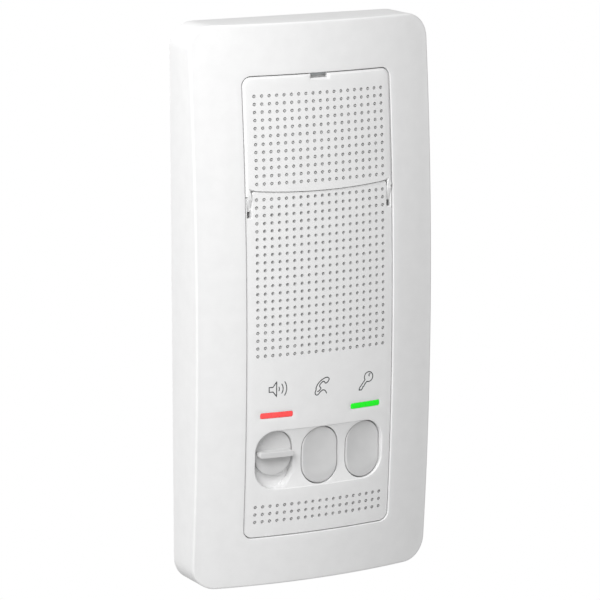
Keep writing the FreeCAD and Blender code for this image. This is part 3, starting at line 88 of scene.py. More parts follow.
def surfaceMaterial(name, colours, rough, grain, bump, fixed=None, stretch=(1, 1, 1)):
    # Roughness and relief follow a grain, whose width is in millimetres, and the colour follows
    # patches that are some grains wide. A real grain is a tenth as wide or less and wouldn't show,
    # so it is drawn as coarse as the render needs.
    material = bpy.data.materials.new(name)
    material.use_nodes = True
    tree = material.node_tree
    tree.nodes.clear()
    place = addNode(tree, "ShaderNodeTexCoord").outputs["Object"]
    turned = addNode(tree, "ShaderNodeMapping", inputs={"Scale": stretch}, links={"Vector": place})
    broad, fine = [
        addNode(tree, "ShaderNodeTexNoise", inputs={"Scale": 1 / (width * mm), "Detail": finish["detail"]},
                links={"Vector": turned.outputs["Vector"]}).outputs["Fac"]
        for width in (grain * finish["patch"], grain)]
    colour = addNode(tree, "ShaderNodeValToRGB", links={"Fac": broad})
    for stop, position, code in zip(colour.color_ramp.elements, (finish["low"], finish["high"]), colours):
        stop.position, stop.color = position, linear(code)
    sheen = addNode(tree, "ShaderNodeMapRange", links={"Value": fine}, inputs={
        "From Min": finish["low"], "From Max": finish["high"], "To Min": rough[0], "To Max": rough[1]})
    relief = addNode(tree, "ShaderNodeBump", links={"Height": fine}, inputs={
        "Strength": bump, "Distance": finish["relief"] * mm})
    shader = addNode(tree, "ShaderNodeBsdfPrincipled", inputs=fixed, links={
        "Base Color": colour.outputs["Color"], "Roughness": sheen.outputs["Result"],
        "Normal": relief.outputs["Normal"]})
    addNode(tree, "ShaderNodeOutputMaterial", links={"Surface": shader.outputs["BSDF"]})
    return material


# White ABS from a spark-eroded tool: a fine satin, so highlights are soft and the white stays even.
shellWhite = surfaceMaterial(
    "spark eroded white ABS", ("#ebebeb", "#eeeeee"), (0.42, 0.5), 0.385, 0.06,
    {"Specular IOR Level": 0.45})
# The same ABS in the blind dimples: duller where the tool's pins touch it, and a darker grey as painted
# shade inside them, so they read as soft rings.
dimpleShadeGrey = surfaceMaterial(
    "dull ABS with painted shade in the dimples", ("#c8c8c8", "#cecece"), (0.6, 0.7), 0.385, 0.04)
# The walls of the open holes: a mid grey of painted shade over the white ABS, and a faint painted glow so
# that they never go black.
holeWallShadeGlow = surfaceMaterial(
    "ABS with painted shade and glow in the sound holes", ("#b4b4b4", "#bcbcbc"), (0.6, 0.7), 0.385, 0.04,
    {"Emission Color": linear("#ffffff"), "Emission Strength": 0.11})
# Grey ABS keys from the same kind of tool: a step darker than the shell, with the same soft sheen.
keyGrey = surfaceMaterial(
    "satin grey ABS keys", ("#d2d2d2", "#d6d6d6"), (0.38, 0.46), 0.385, 0.05,
    {"Specular IOR Level": 0.45})
# Tinted polycarbonate from a polished tool, lit from behind: glossy, and coloured even in the shade.
redGlow = surfaceMaterial(
    "red polycarbonate light bar", ("#f84e50", "#ff5c5c"), (0.25, 0.32), 1.11, 0.03,
    {"Emission Color": linear("#ff3636"), "Emission Strength": 0.2})
greenGlow = surfaceMaterial(
    "green polycarbonate light bar", ("#0ee018", "#16ee20"), (0.25, 0.32), 1.11, 0.03,
    {"Emission Color": linear("#10ff1c"), "Emission Strength": 0.22})
# Pad-printed ink: flat dark grey with a slightly uneven tone, where the soft pad lifted off.
printGrey = surfaceMaterial(
    "pad printed grey ink", ("#3b3d3f", "#484b4d"), (0.6, 0.7), 0.25, 0.02)
# ABS moulded in an unpolished tool: duller and greyer than what shows outside.
innerPlastic = surfaceMaterial(
    "inner moulded ABS", ("#bfc2c4", "#c9cccd"), (0.5, 0.62), 0.667, 0.1)
# Moulded glass-filled nylon: near black, with a faint speckle of fibres in its sheen.
blackPlastic = surfaceMaterial(
    "black glass-filled nylon", ("#141416", "#1c1c1f"), (0.42, 0.6), 0.556, 0.15)
# Moulded nylon of a terminal block: an even mid green with a low gloss.
terminalGreen = surfaceMaterial(
    "green terminal block nylon", ("#1f6b3a", "#277a44"), (0.35, 0.45), 0.833, 0.06)
# Zinc on turned or stamped steel: fine scratches in one direction under a bluish film.
zincSteel = surfaceMaterial(
    "zinc plated steel", ("#a9adb3", "#c3c6ca"), (0.25, 0.42), 0.417, 0.2, {"Metallic": 1.0}, (1, 1, 8))
# Chromate over pressed steel: a dull grey metal with broad, soft reflections.
basketSteel = surfaceMaterial(
    "chromated pressed steel", ("#6b6e72", "#83868a"), (0.35, 0.5), 0.667, 0.15, {"Metallic": 1.0})
# Sintered ferrite: matt charcoal with an open, stony grain.
ferrite = surfaceMaterial(
    "sintered ferrite", ("#232326", "#303034"), (0.6, 0.8), 0.455, 0.4)
# Pressed paper pulp: near black and felted, so it takes no highlight.
conePaper = surfaceMaterial(
    "pressed paper cone", ("#1a1a1b", "#2a2a2b"), (0.8, 0.95), 0.3125, 0.5)
# Woven polyester: a flat grey with a fine tooth at the threads' spacing.
wovenCloth = surfaceMaterial(
    "woven dust cloth", ("#8c8c8f", "#a2a2a5"), (0.85, 1.0), 0.263, 0.7)
# Closed cell foam: black, with pores that break up any sheen.
foamRubber = surfaceMaterial(
    "closed cell foam", ("#1b1b1c", "#29292b"), (0.85, 0.95), 0.5, 0.6)
# Solder mask cured over laminate: a glassy dark green.
solderMask = surfaceMaterial(
    "green solder mask", ("#12452a", "#185534"), (0.28, 0.4), 1.43, 0.08)
# Wound enamelled wire: fine amber rings of metal round the coil.
copperWire = surfaceMaterial(
    "enamelled copper", ("#a8622f", "#c07a44"), (0.25, 0.4), 0.333, 0.3, {"Metallic": 1.0}, (1, 12, 1))
# Deep drawn aluminium: bright metal, a little cloudy from the die.
drawnCan = surfaceMaterial(
    "drawn aluminium can", ("#b9bcc0", "#cfd1d4"), (0.25, 0.4), 0.5, 0.15, {"Metallic": 1.0})
# Extruded PVC: deep red with a soft, waxy gloss.
redInsulation = surfaceMaterial(
    "red PVC insulation", ("#8e1d1d", "#a32626"), (0.4, 0.5), 0.667, 0.08)

nodeFinish = {
    innerPlastic: ("back_plate", "chassis", "button_guide"),
    solderMask: ("circuit_board",),
    terminalGreen: ("terminal_block",),
    blackPlastic: ("talk_plunger", "door_plunger", "switch_bodies", "pot_lever", "red_led", "green_led",
                   "amplifier_chips", "small_parts", "speaker_header", "mic_header"),
    zincSteel: ("slide_pot", "terminal_screws", "speaker_top_plate", "speaker_yoke", "frame_screws",
                "panel_screws", "board_screws", "guide_screws", "lock_screws", "speaker_screws"),
    drawnCan: ("capacitors", "mic_capsule"),
    basketSteel: ("speaker_basket",),
    ferrite: ("speaker_magnet",),
    copperWire: ("voice_coil",),
    conePaper: ("speaker_cone", "speaker_dust_cap"),
    wovenCloth: ("dust_cloth",),
    foamRubber: ("speaker_gasket", "mic_boot"),
    redInsulation: ("speaker_leads", "mic_leads"),
}
for material, names in nodeFinish.items():
    for name in names:
        nodes[name].data.materials.clear()
        nodes[name].data.materials.append(material)
print("materials done")


# Outlines, which run anticlockwise seen from the front

def roundedOutline(cx, cz, halfWidth, halfHeight, corner, bend=3, side=1):
    # A rectangle with round corners of bend steps and straight sides of side steps.
    x0, x1, z0, z1 = cx - halfWidth, cx + halfWidth, cz - halfHeight, cz + halfHeight
    centres = ((x1 - corner, z0 + corner), (x1 - corner, z1 - corner),
               (x0 + corner, z1 - corner), (x0 + corner, z0 + corner))
    points = []
    for quarter, (hubX, hubZ) in enumerate(centres):
        for step in range(bend + 1):
            angle = math.radians(90 * (quarter - 1 + step / bend))
            points.append((hubX + corner * math.cos(angle), hubZ + corner * math.sin(angle)))
        nextX, nextZ = centres[(quarter + 1) % 4]
        angle = math.radians(90 * quarter)
        last = points[-1]
        following = (nextX + corner * math.cos(angle), nextZ + corner * math.sin(angle))
        isLong = math.dist(last, following) > 4 * endFlat
        for step in range(1, side if isLong else 1):
            part = step / side
            points.append((last[0] + (following[0] - last[0]) * part,
                           last[1] + (following[1] - last[1]) * part))
    return np.array(points)


def obround(cx, cz, halfWidth, halfHeight, bend, side):
    return roundedOutline(cx, cz, halfWidth, halfHeight, min(halfWidth, halfHeight) - endFlat, bend, side)


def arcPoints(cx, cz, radius, first, last, count=14):
    angles = np.radians(np.linspace(first, last, count))
    return [(cx + radius * math.cos(a), cz + radius * math.sin(a)) for a in angles]


def circlePoints(cx, cz, radius, sides):
    angles = np.arange(sides) * 2 * math.pi / sides
    return np.stack([cx + radius * np.cos(angles), cz + radius * np.sin(angles)], axis=1)


def shrunk(loop, distance):
    # The closed loop moved inwards by a distance, corner by corner.
    before, after = np.roll(loop, 1, axis=0), np.roll(loop, -1, axis=0)
    arriving, leaving = loop - before, after - loop
    arriving /= np.linalg.norm(arriving, axis=1)[:, None]
    leaving /= np.linalg.norm(leaving, axis=1)[:, None]
    inward = np.stack([-(arriving + leaving)[:, 1], (arriving + leaving)[:, 0]], axis=1)
    inward /= np.linalg.norm(inward, axis=1)[:, None]
    square = np.stack([-leaving[:, 1], leaving[:, 0]], axis=1)
    stretch = np.clip((inward * square).sum(axis=1), 0.35, 1.0)
    return loop + inward * (distance / stretch)[:, None]


def between(one, two, count):
    # Loops in equal steps from one to two, without one itself.
    return [one * (1 - part) + two * part for part in np.linspace(0, 1, count + 1)[1:]]


def rounding(radius, steps=5, way=1):
    # (inset, drop) pairs of a quarter round, from the face over to the side. Way is -1 round a hole.
    pairs = []
    for step in range(steps + 1):
        angle = math.pi / 2 * step / steps
        pairs.append((way * radius * (1 - math.sin(angle)), radius * (1 - math.cos(angle))))
    return pairs


def isInside(points, loop):
    # Even-odd test of many points against one closed loop.
    loop = np.array(loop)
    low, high = loop.min(axis=0), loop.max(axis=0)
    result = np.zeros(len(points), bool)
    near = np.all((points >= low) & (points <= high), axis=1)
    if not near.any():
        return result
    px, pz = points[near, 0][:, None], points[near, 1][:, None]
    a, b = loop, np.roll(loop, -1, axis=0)
    crosses = (a[:, 1] > pz) != (b[:, 1] > pz)
    rise = np.where(b[:, 1] == a[:, 1], 1.0, b[:, 1] - a[:, 1])
    at = a[:, 0] + (pz - a[:, 1]) * (b[:, 0] - a[:, 0]) / rise
    result[near] = (crosses & (px < at)).sum(axis=1) % 2 == 1
    return result


# Meshes

class Shell:
    # Collects rings of points and the faces between them.
    def __init__(self):
        self.points = []
        self.faces = []

    def ring(self, loop, height):
        heights = np.broadcast_to(height, len(loop))
        first = len(self.points)
        self.points += [(x, -h, z) for (x, z), h in zip(loop, heights)]
        return list(range(first, first + len(loop)))

    def bridge(self, *rings):
        for one, two in zip(rings, rings[1:]):
            for i in range(len(one)):
                j = (i + 1) % len(one)
                self.faces.append((one[i], one[j], two[j], two[i]))

    def sweep(self, loop, profile, surfaceHeight):
        # Rings of the loop at each (inset, drop) of the profile, bridged. Gives all the rings.
        rings = []
        for inset, drop in profile:
            moved = shrunk(loop, inset) if inset else loop
            rings.append(self.ring(moved, surfaceHeight(moved) - drop))
        self.bridge(*rings)
        return rings

    def fill(self, outer, inners, surfaceHeight, spacing=2.54, offset=(1.27, 1.27)):
        # Triangles between an outer ring and inner rings. The lattice of points between them carries
        # the surface's curve, and as it stands here it runs midway between the sound holes.
        loops = [outer] + inners
        flat = [[(self.points[i][0], self.points[i][2]) for i in loop] for loop in loops]
        coords, edges = [], []
        for loop in flat:
            first = len(coords)
            coords += loop
            edges += [(first + i, first + (i + 1) % len(loop)) for i in range(len(loop))]
        known = [i for loop in loops for i in loop]
        low, high = np.min(flat[0], axis=0), np.max(flat[0], axis=0)
        xs = np.arange(math.floor(low[0] / spacing) * spacing + offset[0], high[0], spacing)
        zs = np.arange(math.floor(low[1] / spacing) * spacing + offset[1], high[1], spacing)
        lattice = np.array([(x, z) for x in xs for z in zs]).reshape(-1, 2)
        isFree = isInside(lattice, flat[0])
        for loop in flat[1:]:
            if len(loop) > smallRing:
                isFree &= ~isInside(lattice, loop)
        coords += [tuple(p) for p in lattice[isFree]]
        verts, _, triangles, sources = delaunay_2d_cdt([Vector(c) for c in coords], edges, [], 1, 1e-7)[:4]
        numbers = []
        for vert, origin in zip(verts, sources):
            given = [known[i] for i in origin if i < len(known)]
            if given:
                numbers.append(given[0])
                continue
            height = float(surfaceHeight(np.array([[vert.x, vert.y]]))[0])
            self.points.append((vert.x, -height, vert.y))
            numbers.append(len(self.points) - 1)
        centres = np.array([np.mean([verts[i] for i in t], axis=0) for t in triangles])
        isKept = isInside(centres, flat[0])
        for hole in flat[1:]:
            isKept &= ~isInside(centres, hole)
        self.faces += [tuple(numbers[i] for i in t) for t, kept in zip(triangles, isKept) if kept]

    def cap(self, ring):
        self.faces.append(tuple(ring))

    def build(self, name, material):
        mesh = bpy.data.meshes.new(name)
        mesh.from_pydata([(x * mm, y * mm, z * mm) for x, y, z in self.points], [], self.faces)
        body = bmesh.new()
        body.from_mesh(mesh)
        bmesh.ops.remove_doubles(body, verts=body.verts, dist=1e-7)
        bmesh.ops.recalc_face_normals(body, faces=body.faces)
        body.to_mesh(mesh)
        body.free()
        shade(mesh)
        mesh.materials.append(material)
        made = bpy.data.objects.new(name, mesh)
        bpy.context.collection.objects.link(made)
        return made


def shade(mesh):
    mesh.shade_smooth()
    mesh.set_sharp_from_angle(angle=crease)


def joined(main, *others):
    # One object out of several, each face with the material that it had.
    finishes = main.data.materials
    body = bmesh.new()
    body.from_mesh(main.data)
    for part in others:
        start = len(body.faces)
        body.from_mesh(part.data)
        body.faces.ensure_lookup_table()
        for patch in body.faces[start:]:
            material = part.data.materials[patch.material_index]
            if material.name not in finishes:
                finishes.append(material)
            patch.material_index = finishes.find(material.name)
    bmesh.ops.remove_doubles(body, verts=body.verts, dist=2e-6)
    bmesh.ops.recalc_face_normals(body, faces=body.faces)
    body.to_mesh(main.data)
    body.free()
    shade(main.data)
    for part in others:
        bpy.data.objects.remove(part)
    return main


def prismAlong(name, section, x0, x1, material, edge=0.1):
    # A closed (height, z) section carried from x0 to x1, with its hard edges broken.
    shell = Shell()
    count = len(section)
    for x in (x0, x1):
        shell.points += [(x, -h, z) for h, z in section]
    one, two = list(range(count)), list(range(count, 2 * count))
    shell.cap(one)
    shell.cap(two)
    shell.bridge(one, two)
    made = shell.build(name, material)
    body = bmesh.new()
    body.from_mesh(made.data)
    hard = [e for e in body.edges if e.is_manifold and e.calc_face_angle(0) > hardEdge]
    bmesh.ops.bevel(body, geom=hard, offset=edge * mm, segments=2, profile=0.5, affect="EDGES")
    body.to_mesh(made.data)
    body.free()
    shade(made.data)
    return made


# Outer frame, one rounded skin that runs from the wall over the rim to the window

def makeFrame():
    shell = Shell()

    def outlineAt(inset):
        return roundedOutline(0, 0, plate["halfWidth"] - inset, plate["halfHeight"] - inset,
                              plate["corner"] - inset, plate["bend"], plate["side"])

    outer, inward = outlineAt(0), outlineAt(plate["wall"])
    inner = roundedOutline(0, 0, window["halfWidth"], window["halfHeight"], window["corner"],
                           plate["bend"], plate["side"])
    rimTop, mouth = shrunk(outer, plate["edge"]), shrunk(inner, -window["edge"])
    front = onPillow()
    rim = shell.sweep(outer, rounding(plate["edge"]), lambda loop: front(rimTop))
    wall = [shell.ring(outer, plate["footBevel"]), shell.ring(outlineAt(plate["footBevel"]), 0.0),
            shell.ring(inward, 0.0), shell.ring(inward, front(inward) - plate["skin"])]
    shell.bridge(rim[-1], *wall)
    dome = [shell.ring(loop, front(loop)) for loop in between(rimTop, mouth, plate["bands"])]
    lip = [shell.ring(loop, front(loop) - drop) for loop, drop in
           ((shrunk(inner, -inset), drop) for inset, drop in rounding(window["edge"])[1:])]
    back = [shell.ring(loop, front(loop) - plate["skin"])
            for loop in [inner] + between(inner, inward, plate["backBands"])]
    shell.bridge(rim[0], *dome, *lip, *back)
    made = shell.build("outer_frame", shellWhite)
    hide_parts("front_frame")
    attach(made, "housing")


# Sound holes on their square grid: blind dimples, and open ones before the loudspeaker and microphone

grid = {"pitch": 2.54, "top": 69.2, "columns": 9, "coverRows": (0, 11), "panelRows": (13, 33),
        "openRadius": 26.2, "openLevel": 12.7, "micTop": -65.07, "micRows": 3, "micColumns": 2,
        "radius": 0.55, "bevel": 0.07, "bevelShare": (0.35, 0.3), "sides": 12,
        "blindDepth": 0.62, "grooveShare": 0.62, "pipShare": 0.4, "pipDrop": 0.2}


def holeRows(first, last):
    # (x, z, isOpen) of every sound hole in the rows from first to last.
    holes = []
    for row in range(first, last + 1):
        z = grid["top"] - row * grid["pitch"]
        for column in range(-grid["columns"], grid["columns"] + 1):
            x = column * grid["pitch"]
            holes.append((x, z, math.hypot(x, z - grid["openLevel"]) <= grid["openRadius"]))
    return holes


def micHoles():
    return [(column * grid["pitch"], grid["micTop"] - row * grid["pitch"], abs(column) <= grid["micColumns"])
            for row in range(grid["micRows"]) for column in range(-grid["columns"], grid["columns"] + 1)]


def holeCircle(x, z, radius):
    return circlePoints(x, z, radius, grid["sides"])


def holeMouths(shell, holes, surfaceHeight):
    # The mouth of each hole: a ring in the face, which the liner below continues.
    return [shell.ring(loop, surfaceHeight(loop)) for loop in
            (holeCircle(x, z, grid["radius"] + grid["bevel"]) for x, z, isOpen in holes)]


def linerMesh(name, depth, isBlind):
    # Bevel and wall of one hole, mouth at the origin. A blind one has a floor with a low pip on it.
    shell = Shell()
    r, b = grid["radius"], grid["bevel"]
    out, down = grid["bevelShare"]
    profile = [(r + b, 0.0), (r + b * out, b * down), (r, b), (r, depth)]
    if isBlind:
        profile += [(r * grid["grooveShare"], depth), (r * grid["pipShare"], grid["pipDrop"])]
    rings = [shell.ring(holeCircle(0, 0, radius), -drop) for radius, drop in profile]
    shell.bridge(*rings)
    if isBlind:
        shell.cap(rings[-1])
    made = shell.build(name, shellWhite)
    made.hide_render = made.hide_viewport = True
    return made


def liftTree():
    # Puts a liner at each given point and lifts the whole field onto the pillow.
    tree = bpy.data.node_groups.new("hole liners on the pillow", "GeometryNodeTree")
    for name, kind in (("Points", "Geometry"), ("Liner", "Object"), ("Material", "Material"),
                       ("Across", "Float"), ("Along", "Float"), ("Depth", "Float"), ("Inset", "Float")):
        tree.interface.new_socket(name, in_out="INPUT", socket_type="NodeSocket" + kind)
    tree.interface.new_socket("Holes", in_out="OUTPUT", socket_type="NodeSocketGeometry")
    given = addNode(tree, "NodeGroupInput").outputs
    shape = addNode(tree, "GeometryNodeObjectInfo", links={"Object": given["Liner"]})
    placed = addNode(tree, "GeometryNodeInstanceOnPoints", links={
        "Points": given["Points"], "Instance": shape.outputs["Geometry"]})
    real = addNode(tree, "GeometryNodeRealizeInstances", links={"Geometry": placed.outputs["Instances"]})
    place = addNode(tree, "GeometryNodeInputPosition")
    xyz = addNode(tree, "ShaderNodeSeparateXYZ", links={"Vector": place.outputs["Position"]}).outputs
    # The same formula as pillow(), one sum a line: what it gives, the operation, and its terms.
    values = {"x": xyz["X"], "z": xyz["Z"]}
    values.update({name: given[name] for name in ("Across", "Along", "Depth", "Inset")})
    for name, operation, *terms in (
            ("tube", "SUBTRACT", "Across", "Inset"),
            ("tubeSquared", "POWER", "tube", 2.0),
            ("xSquared", "POWER", "x", 2.0),
            ("acrossRest", "SUBTRACT", "tubeSquared", "xSquared"),
            ("acrossRoot", "SQRT", "acrossRest"),
            ("hub", "SUBTRACT", "Along", "Across"),
            ("ring", "ADD", "acrossRoot", "hub"),
            ("ringSquared", "POWER", "ring", 2.0),
            ("zSquared", "POWER", "z", 2.0),
            ("alongRest", "SUBTRACT", "ringSquared", "zSquared"),
            ("alongRoot", "SQRT", "alongRest"),
            ("base", "SUBTRACT", "Depth", "Along"),
            ("height", "ADD", "alongRoot", "base"),
            ("forward", "MULTIPLY", "height", -1.0)):
        values[name] = addNode(
            tree, "ShaderNodeMath", {"operation": operation},
            {i: term for i, term in enumerate(terms) if isinstance(term, float)},
            {i: values[term] for i, term in enumerate(terms) if isinstance(term, str)}).outputs[0]
    offset = addNode(tree, "ShaderNodeCombineXYZ", links={"Y": values["forward"]})
    lifted = addNode(tree, "GeometryNodeSetPosition", links={
        "Geometry": real.outputs["Geometry"], "Offset": offset.outputs["Vector"]})
    painted = addNode(tree, "GeometryNodeSetMaterial", links={
        "Geometry": lifted.outputs["Geometry"], "Material": given["Material"]})
    addNode(tree, "NodeGroupOutput", links={"Holes": painted.outputs["Geometry"]})
    return tree


def linedHoles(name, holes, inset, liner, material):
    # One mesh with a liner at each hole's place on the face.
    mesh = bpy.data.meshes.new(name)
    mesh.from_pydata([(x * mm, 0.0, z * mm) for x, z, isOpen in holes], [], [])
    made = bpy.data.objects.new(name, mesh)
    bpy.context.collection.objects.link(made)
    modifier = made.modifiers.new("liners", "NODES")
    modifier.node_group = holeTree
    given = {"Liner": liner, "Material": material, "Across": plate["across"] * mm,
             "Along": plate["along"] * mm, "Depth": plate["depth"] * mm, "Inset": inset * mm}
    for item in holeTree.interface.items_tree:
        if item.name in given:
            modifier[item.identifier] = given[item.name]
    depsgraph = bpy.context.evaluated_depsgraph_get()
    final = bpy.data.meshes.new_from_object(made.evaluated_get(depsgraph))
    made.modifiers.clear()
    made.data = final
    return made


# Face panel: seam edge, slots for the cover's legs, light bar windows, trough and wells

face = {"recess": 0.5, "skin": 2.4, "seam": 37.8, "seamRadius": 260.0, "legInner": 24.475,
        "legOuter": 26.025, "slotFoot": 30.4, "rimTop": 37.0, "edge": 0.22, "corner": 0.9}
trough = {"halfWidth": 23.3, "halfHeight": 9.875, "level": -49.65, "corner": 7.05, "depth": 2.1,
          "radius": 36.6, "edge": 0.25, "floorInset": 0.02, "wall": 1.2, "bend": 14, "side": 16,
          "lattice": (1.2, (0.6, 0.6)), "backLattice": 4.0}
wells = {"pitch": 16.25, "halfWidth": 6.7, "halfHeight": 9.8, "floor": 15.6, "knobFloor": 16.9,
         "edge": 0.05, "bend": 14, "side": 3, "slotHalfWidth": 3.3, "slotHalfHeight": 4.4,
         "slotCorner": 0.5, "lattice": 3.0}
bars = {"halfWidth": 5.5, "halfHeight": 0.82, "level": -34.45, "corner": 0.4, "gap": 0.14, "lip": 0.12,
        "proud": 0.1, "round": 0.2, "brim": 1.0, "brimTop": 17.9, "brimLow": 13.4,
        "stemHalfWidth": 2.5, "stemHalfHeight": 0.875, "stemCorner": 0.1, "stemEnd": 8.2,
        "bend": 6, "side": 5, "lattice": (0.5, (0.25, 0.2))}


def seamHeight(x, seam):
    return seam + face["seamRadius"] - np.sqrt(face["seamRadius"] ** 2 - x * x)


def troughHeight(loop):
    # The groove keeps its depth along the curved front and is hollow up and down.
    u = loop[:, 1] - trough["level"]
    hollow = trough["depth"] - trough["radius"] + np.sqrt(trough["radius"] ** 2 - u * u)
    return pillow(loop[:, 0], loop[:, 1]) - hollow


def barOutline(x, grow):
    return roundedOutline(x, bars["level"], bars["halfWidth"] + grow, bars["halfHeight"] + grow,
                          bars["corner"] + grow, bars["bend"], bars["side"])


def panelOutline():
    # Bottom corners, sides, the slots for the cover's legs, and the curved top edge.
    w = window["halfWidth"] - window["gap"]
    bottom = -window["halfHeight"] + window["gap"]
    corner = window["corner"] - window["gap"]
    right = arcPoints(w - corner, bottom + corner, corner, -90, 0, 9)
    right += [(w, z) for z in np.linspace(bottom + corner, face["rimTop"], 34)[1:]]
    right += [(face["legOuter"], face["rimTop"]), (face["legOuter"], face["slotFoot"]),
              (face["legInner"], face["slotFoot"])]
    hub = face["legInner"] - face["corner"]
    shoulder = float(seamHeight(hub, face["seam"])) - face["corner"]
    right += [(face["legInner"], z) for z in np.linspace(face["slotFoot"], shoulder, 5)[1:-1]]
    right += arcPoints(hub, shoulder, face["corner"], 0, 90, 6)
    top = [(x, float(seamHeight(x, face["seam"]))) for x in np.linspace(hub, 0, 16)[1:-1]]
    left = [(-x, z) for x, z in reversed(right + top)]
    floor = [(x, bottom) for x in np.linspace(-w + corner, w - corner, 14)[1:-1]]
    return np.array(right + top + [(0.0, face["seam"])] + left + floor)


def makePanel():
    shell = Shell()
    front = onPillow(face["recess"])
    rings = shell.sweep(panelOutline(), rounding(face["edge"]) + [(0.0, face["skin"])], front)
    mouths, ends = [], []
    lip = bars["lip"]
    for x in (-wells["pitch"], wells["pitch"]):
        profile = [(-lip, 0.0), (-lip / 4, lip / 4), (0.0, lip), (0.0, face["skin"])]
        opening = shell.sweep(barOutline(x, bars["gap"]), profile, front)
        mouths.append(opening[0])
        ends.append(opening[-1])
    mouth, wall = makeTrough(shell, front)
    mouths.append(mouth)
    ends.append(wall)
    holes = holeRows(*grid["panelRows"]) + micHoles()
    blind, passing = [h for h in holes if not h[2]], [h for h in holes if h[2]]
    mouths += holeMouths(shell, holes, front)
    ends += [shell.ring(loop, front(loop) - face["skin"]) for loop in
             (holeCircle(x, z, grid["radius"]) for x, z, isOpen in passing)]
    shell.fill(rings[0], mouths, front)
    shell.fill(rings[-1], ends, lambda loop: front(loop) - face["skin"])
    made = joined(
        shell.build("face_panel", shellWhite),
        # The dimples' liners carry painted shade, and the open holes' liners painted shade with a painted
        # glow.
        linedHoles("panel_dimples", blind, face["recess"], dimple, dimpleShadeGrey),
        linedHoles("panel_sound_holes", passing, face["recess"], tube, holeWallShadeGlow))
    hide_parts("front_panel")
    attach(made, "housing")


def makeTrough(shell, front):
    # Groove, wells and their block behind. Gives the mouth's ring and the block's ring at the back.
    basin = roundedOutline(0, trough["level"], trough["halfWidth"], trough["halfHeight"],
                           trough["corner"], trough["bend"], trough["side"])
    mouth = shell.sweep(basin, rounding(trough["edge"], way=-1), front)
    floorLoop = shrunk(basin, trough["floorInset"])
    floorRing = shell.ring(floorLoop, np.minimum(troughHeight(floorLoop), front(floorLoop) - trough["edge"]))
    shell.bridge(mouth[-1], floorRing)
    wellRings, underRings = [], []
    for x in (-wells["pitch"], 0.0, wells["pitch"]):
        isKnob = x < 0
        outline = obround(x, trough["level"], wells["halfWidth"], wells["halfHeight"],
                          wells["bend"], wells["side"])
        edge = shell.sweep(outline, rounding(wells["edge"], 2, -1), troughHeight)
        deep = shell.ring(outline, wells["knobFloor"] if isKnob else wells["floor"])
        shell.bridge(edge[-1], deep)
        wellRings.append(edge[0])
        underRings.append(knobFloor(shell, x, deep) if isKnob else deep)
    shell.fill(floorRing, wellRings, troughHeight, *trough["lattice"])
    block = shrunk(basin, -trough["wall"])
    wall, foot = shell.ring(block, front(block) - face["skin"]), shell.ring(block, wells["floor"])
    shell.bridge(wall, foot)
    shell.fill(foot, underRings, lambda loop: np.full(len(loop), wells["floor"]), trough["backLattice"])
    return mouth[0], wall


def knobFloor(shell, x, deep):
    # Floor of the left well, with the slot that the knob's stem slides in.
    slot = roundedOutline(x, trough["level"], wells["slotHalfWidth"], wells["slotHalfHeight"],
                          wells["slotCorner"])
    top, low = shell.ring(slot, wells["knobFloor"]), shell.ring(slot, wells["floor"])
    shell.fill(deep, [top], lambda loop: np.full(len(loop), wells["knobFloor"]), wells["lattice"])
    shell.bridge(top, low)
    return low


# Service cover with its chamfered edge, finger notch, two legs and latch

cover = {"seam": 37.98, "seamShare": 0.15, "seamBand": 45.0, "chamfer": 0.85, "drop": 0.42, "skin": 1.8,
         "soften": 0.12, "softenDrop": 0.02, "edgeInset": 0.1, "edgeAbove": 0.05, "edgeBelow": 0.06,
         "underInset": 0.4, "lattice": 5.0, "shoulder": 37.3, "notchHalf": 3.0, "notch": 1.4}
leg = {"inner": 24.625, "outer": 25.875, "foot": 32.4, "root": 38.6, "lap": 0.5, "behind": 0.8,
       "rampStart": 36.5, "rampDrop": 1.3, "pivotHeight": 19.9, "pivotLevel": 33.2,
       "pin": 0.5, "pinOut": 0.8, "pinIn": 0.4, "pinSides": 20}
latch = {"halfWidth": 4.5, "top": 73.3, "thickness": 1.2, "reach": 4.8, "length": 4.9, "lead": 0.4,
         "floorDrop": 1.0, "floorThickness": 0.6, "lap": 0.2, "clear": 0.1}


def coverOutline():
    w = window["halfWidth"] - window["gap"]
    top = window["halfHeight"] - window["gap"]
    corner = window["corner"] - window["gap"]
    right = [(x, float(seamHeight(x, cover["seam"]))) for x in np.linspace(0, leg["inner"], 16)[1:]]
    right += [(leg["inner"], cover["shoulder"]), (leg["outer"], cover["shoulder"])]
    right += [(w, z) for z in np.linspace(cover["shoulder"], top - corner, 18)]
    right += arcPoints(w - corner, top - corner, corner, 0, 90, 9)[1:]
    right += [(x, top) for x in np.linspace(w - corner, cover["notchHalf"], 8)[1:]]
    right += [(cover["notchHalf"], top - cover["notch"])]
    left = [(-x, z) for x, z in reversed(right)]
    return np.array([(0.0, cover["seam"])] + right + left)


def coverInset(outline, inset):
    # The chamfer is full along the sides and the top, and next to nothing along the seam.
    full, seam = shrunk(outline, inset), shrunk(outline, inset * cover["seamShare"])
    atSeam = outline[:, 1] < cover["shoulder"] + 0.001
    atSeam |= np.abs(outline[:, 0]) < leg["inner"] - 0.01
    atSeam &= outline[:, 1] < cover["seamBand"]
    return np.where(atSeam[:, None], seam, full)


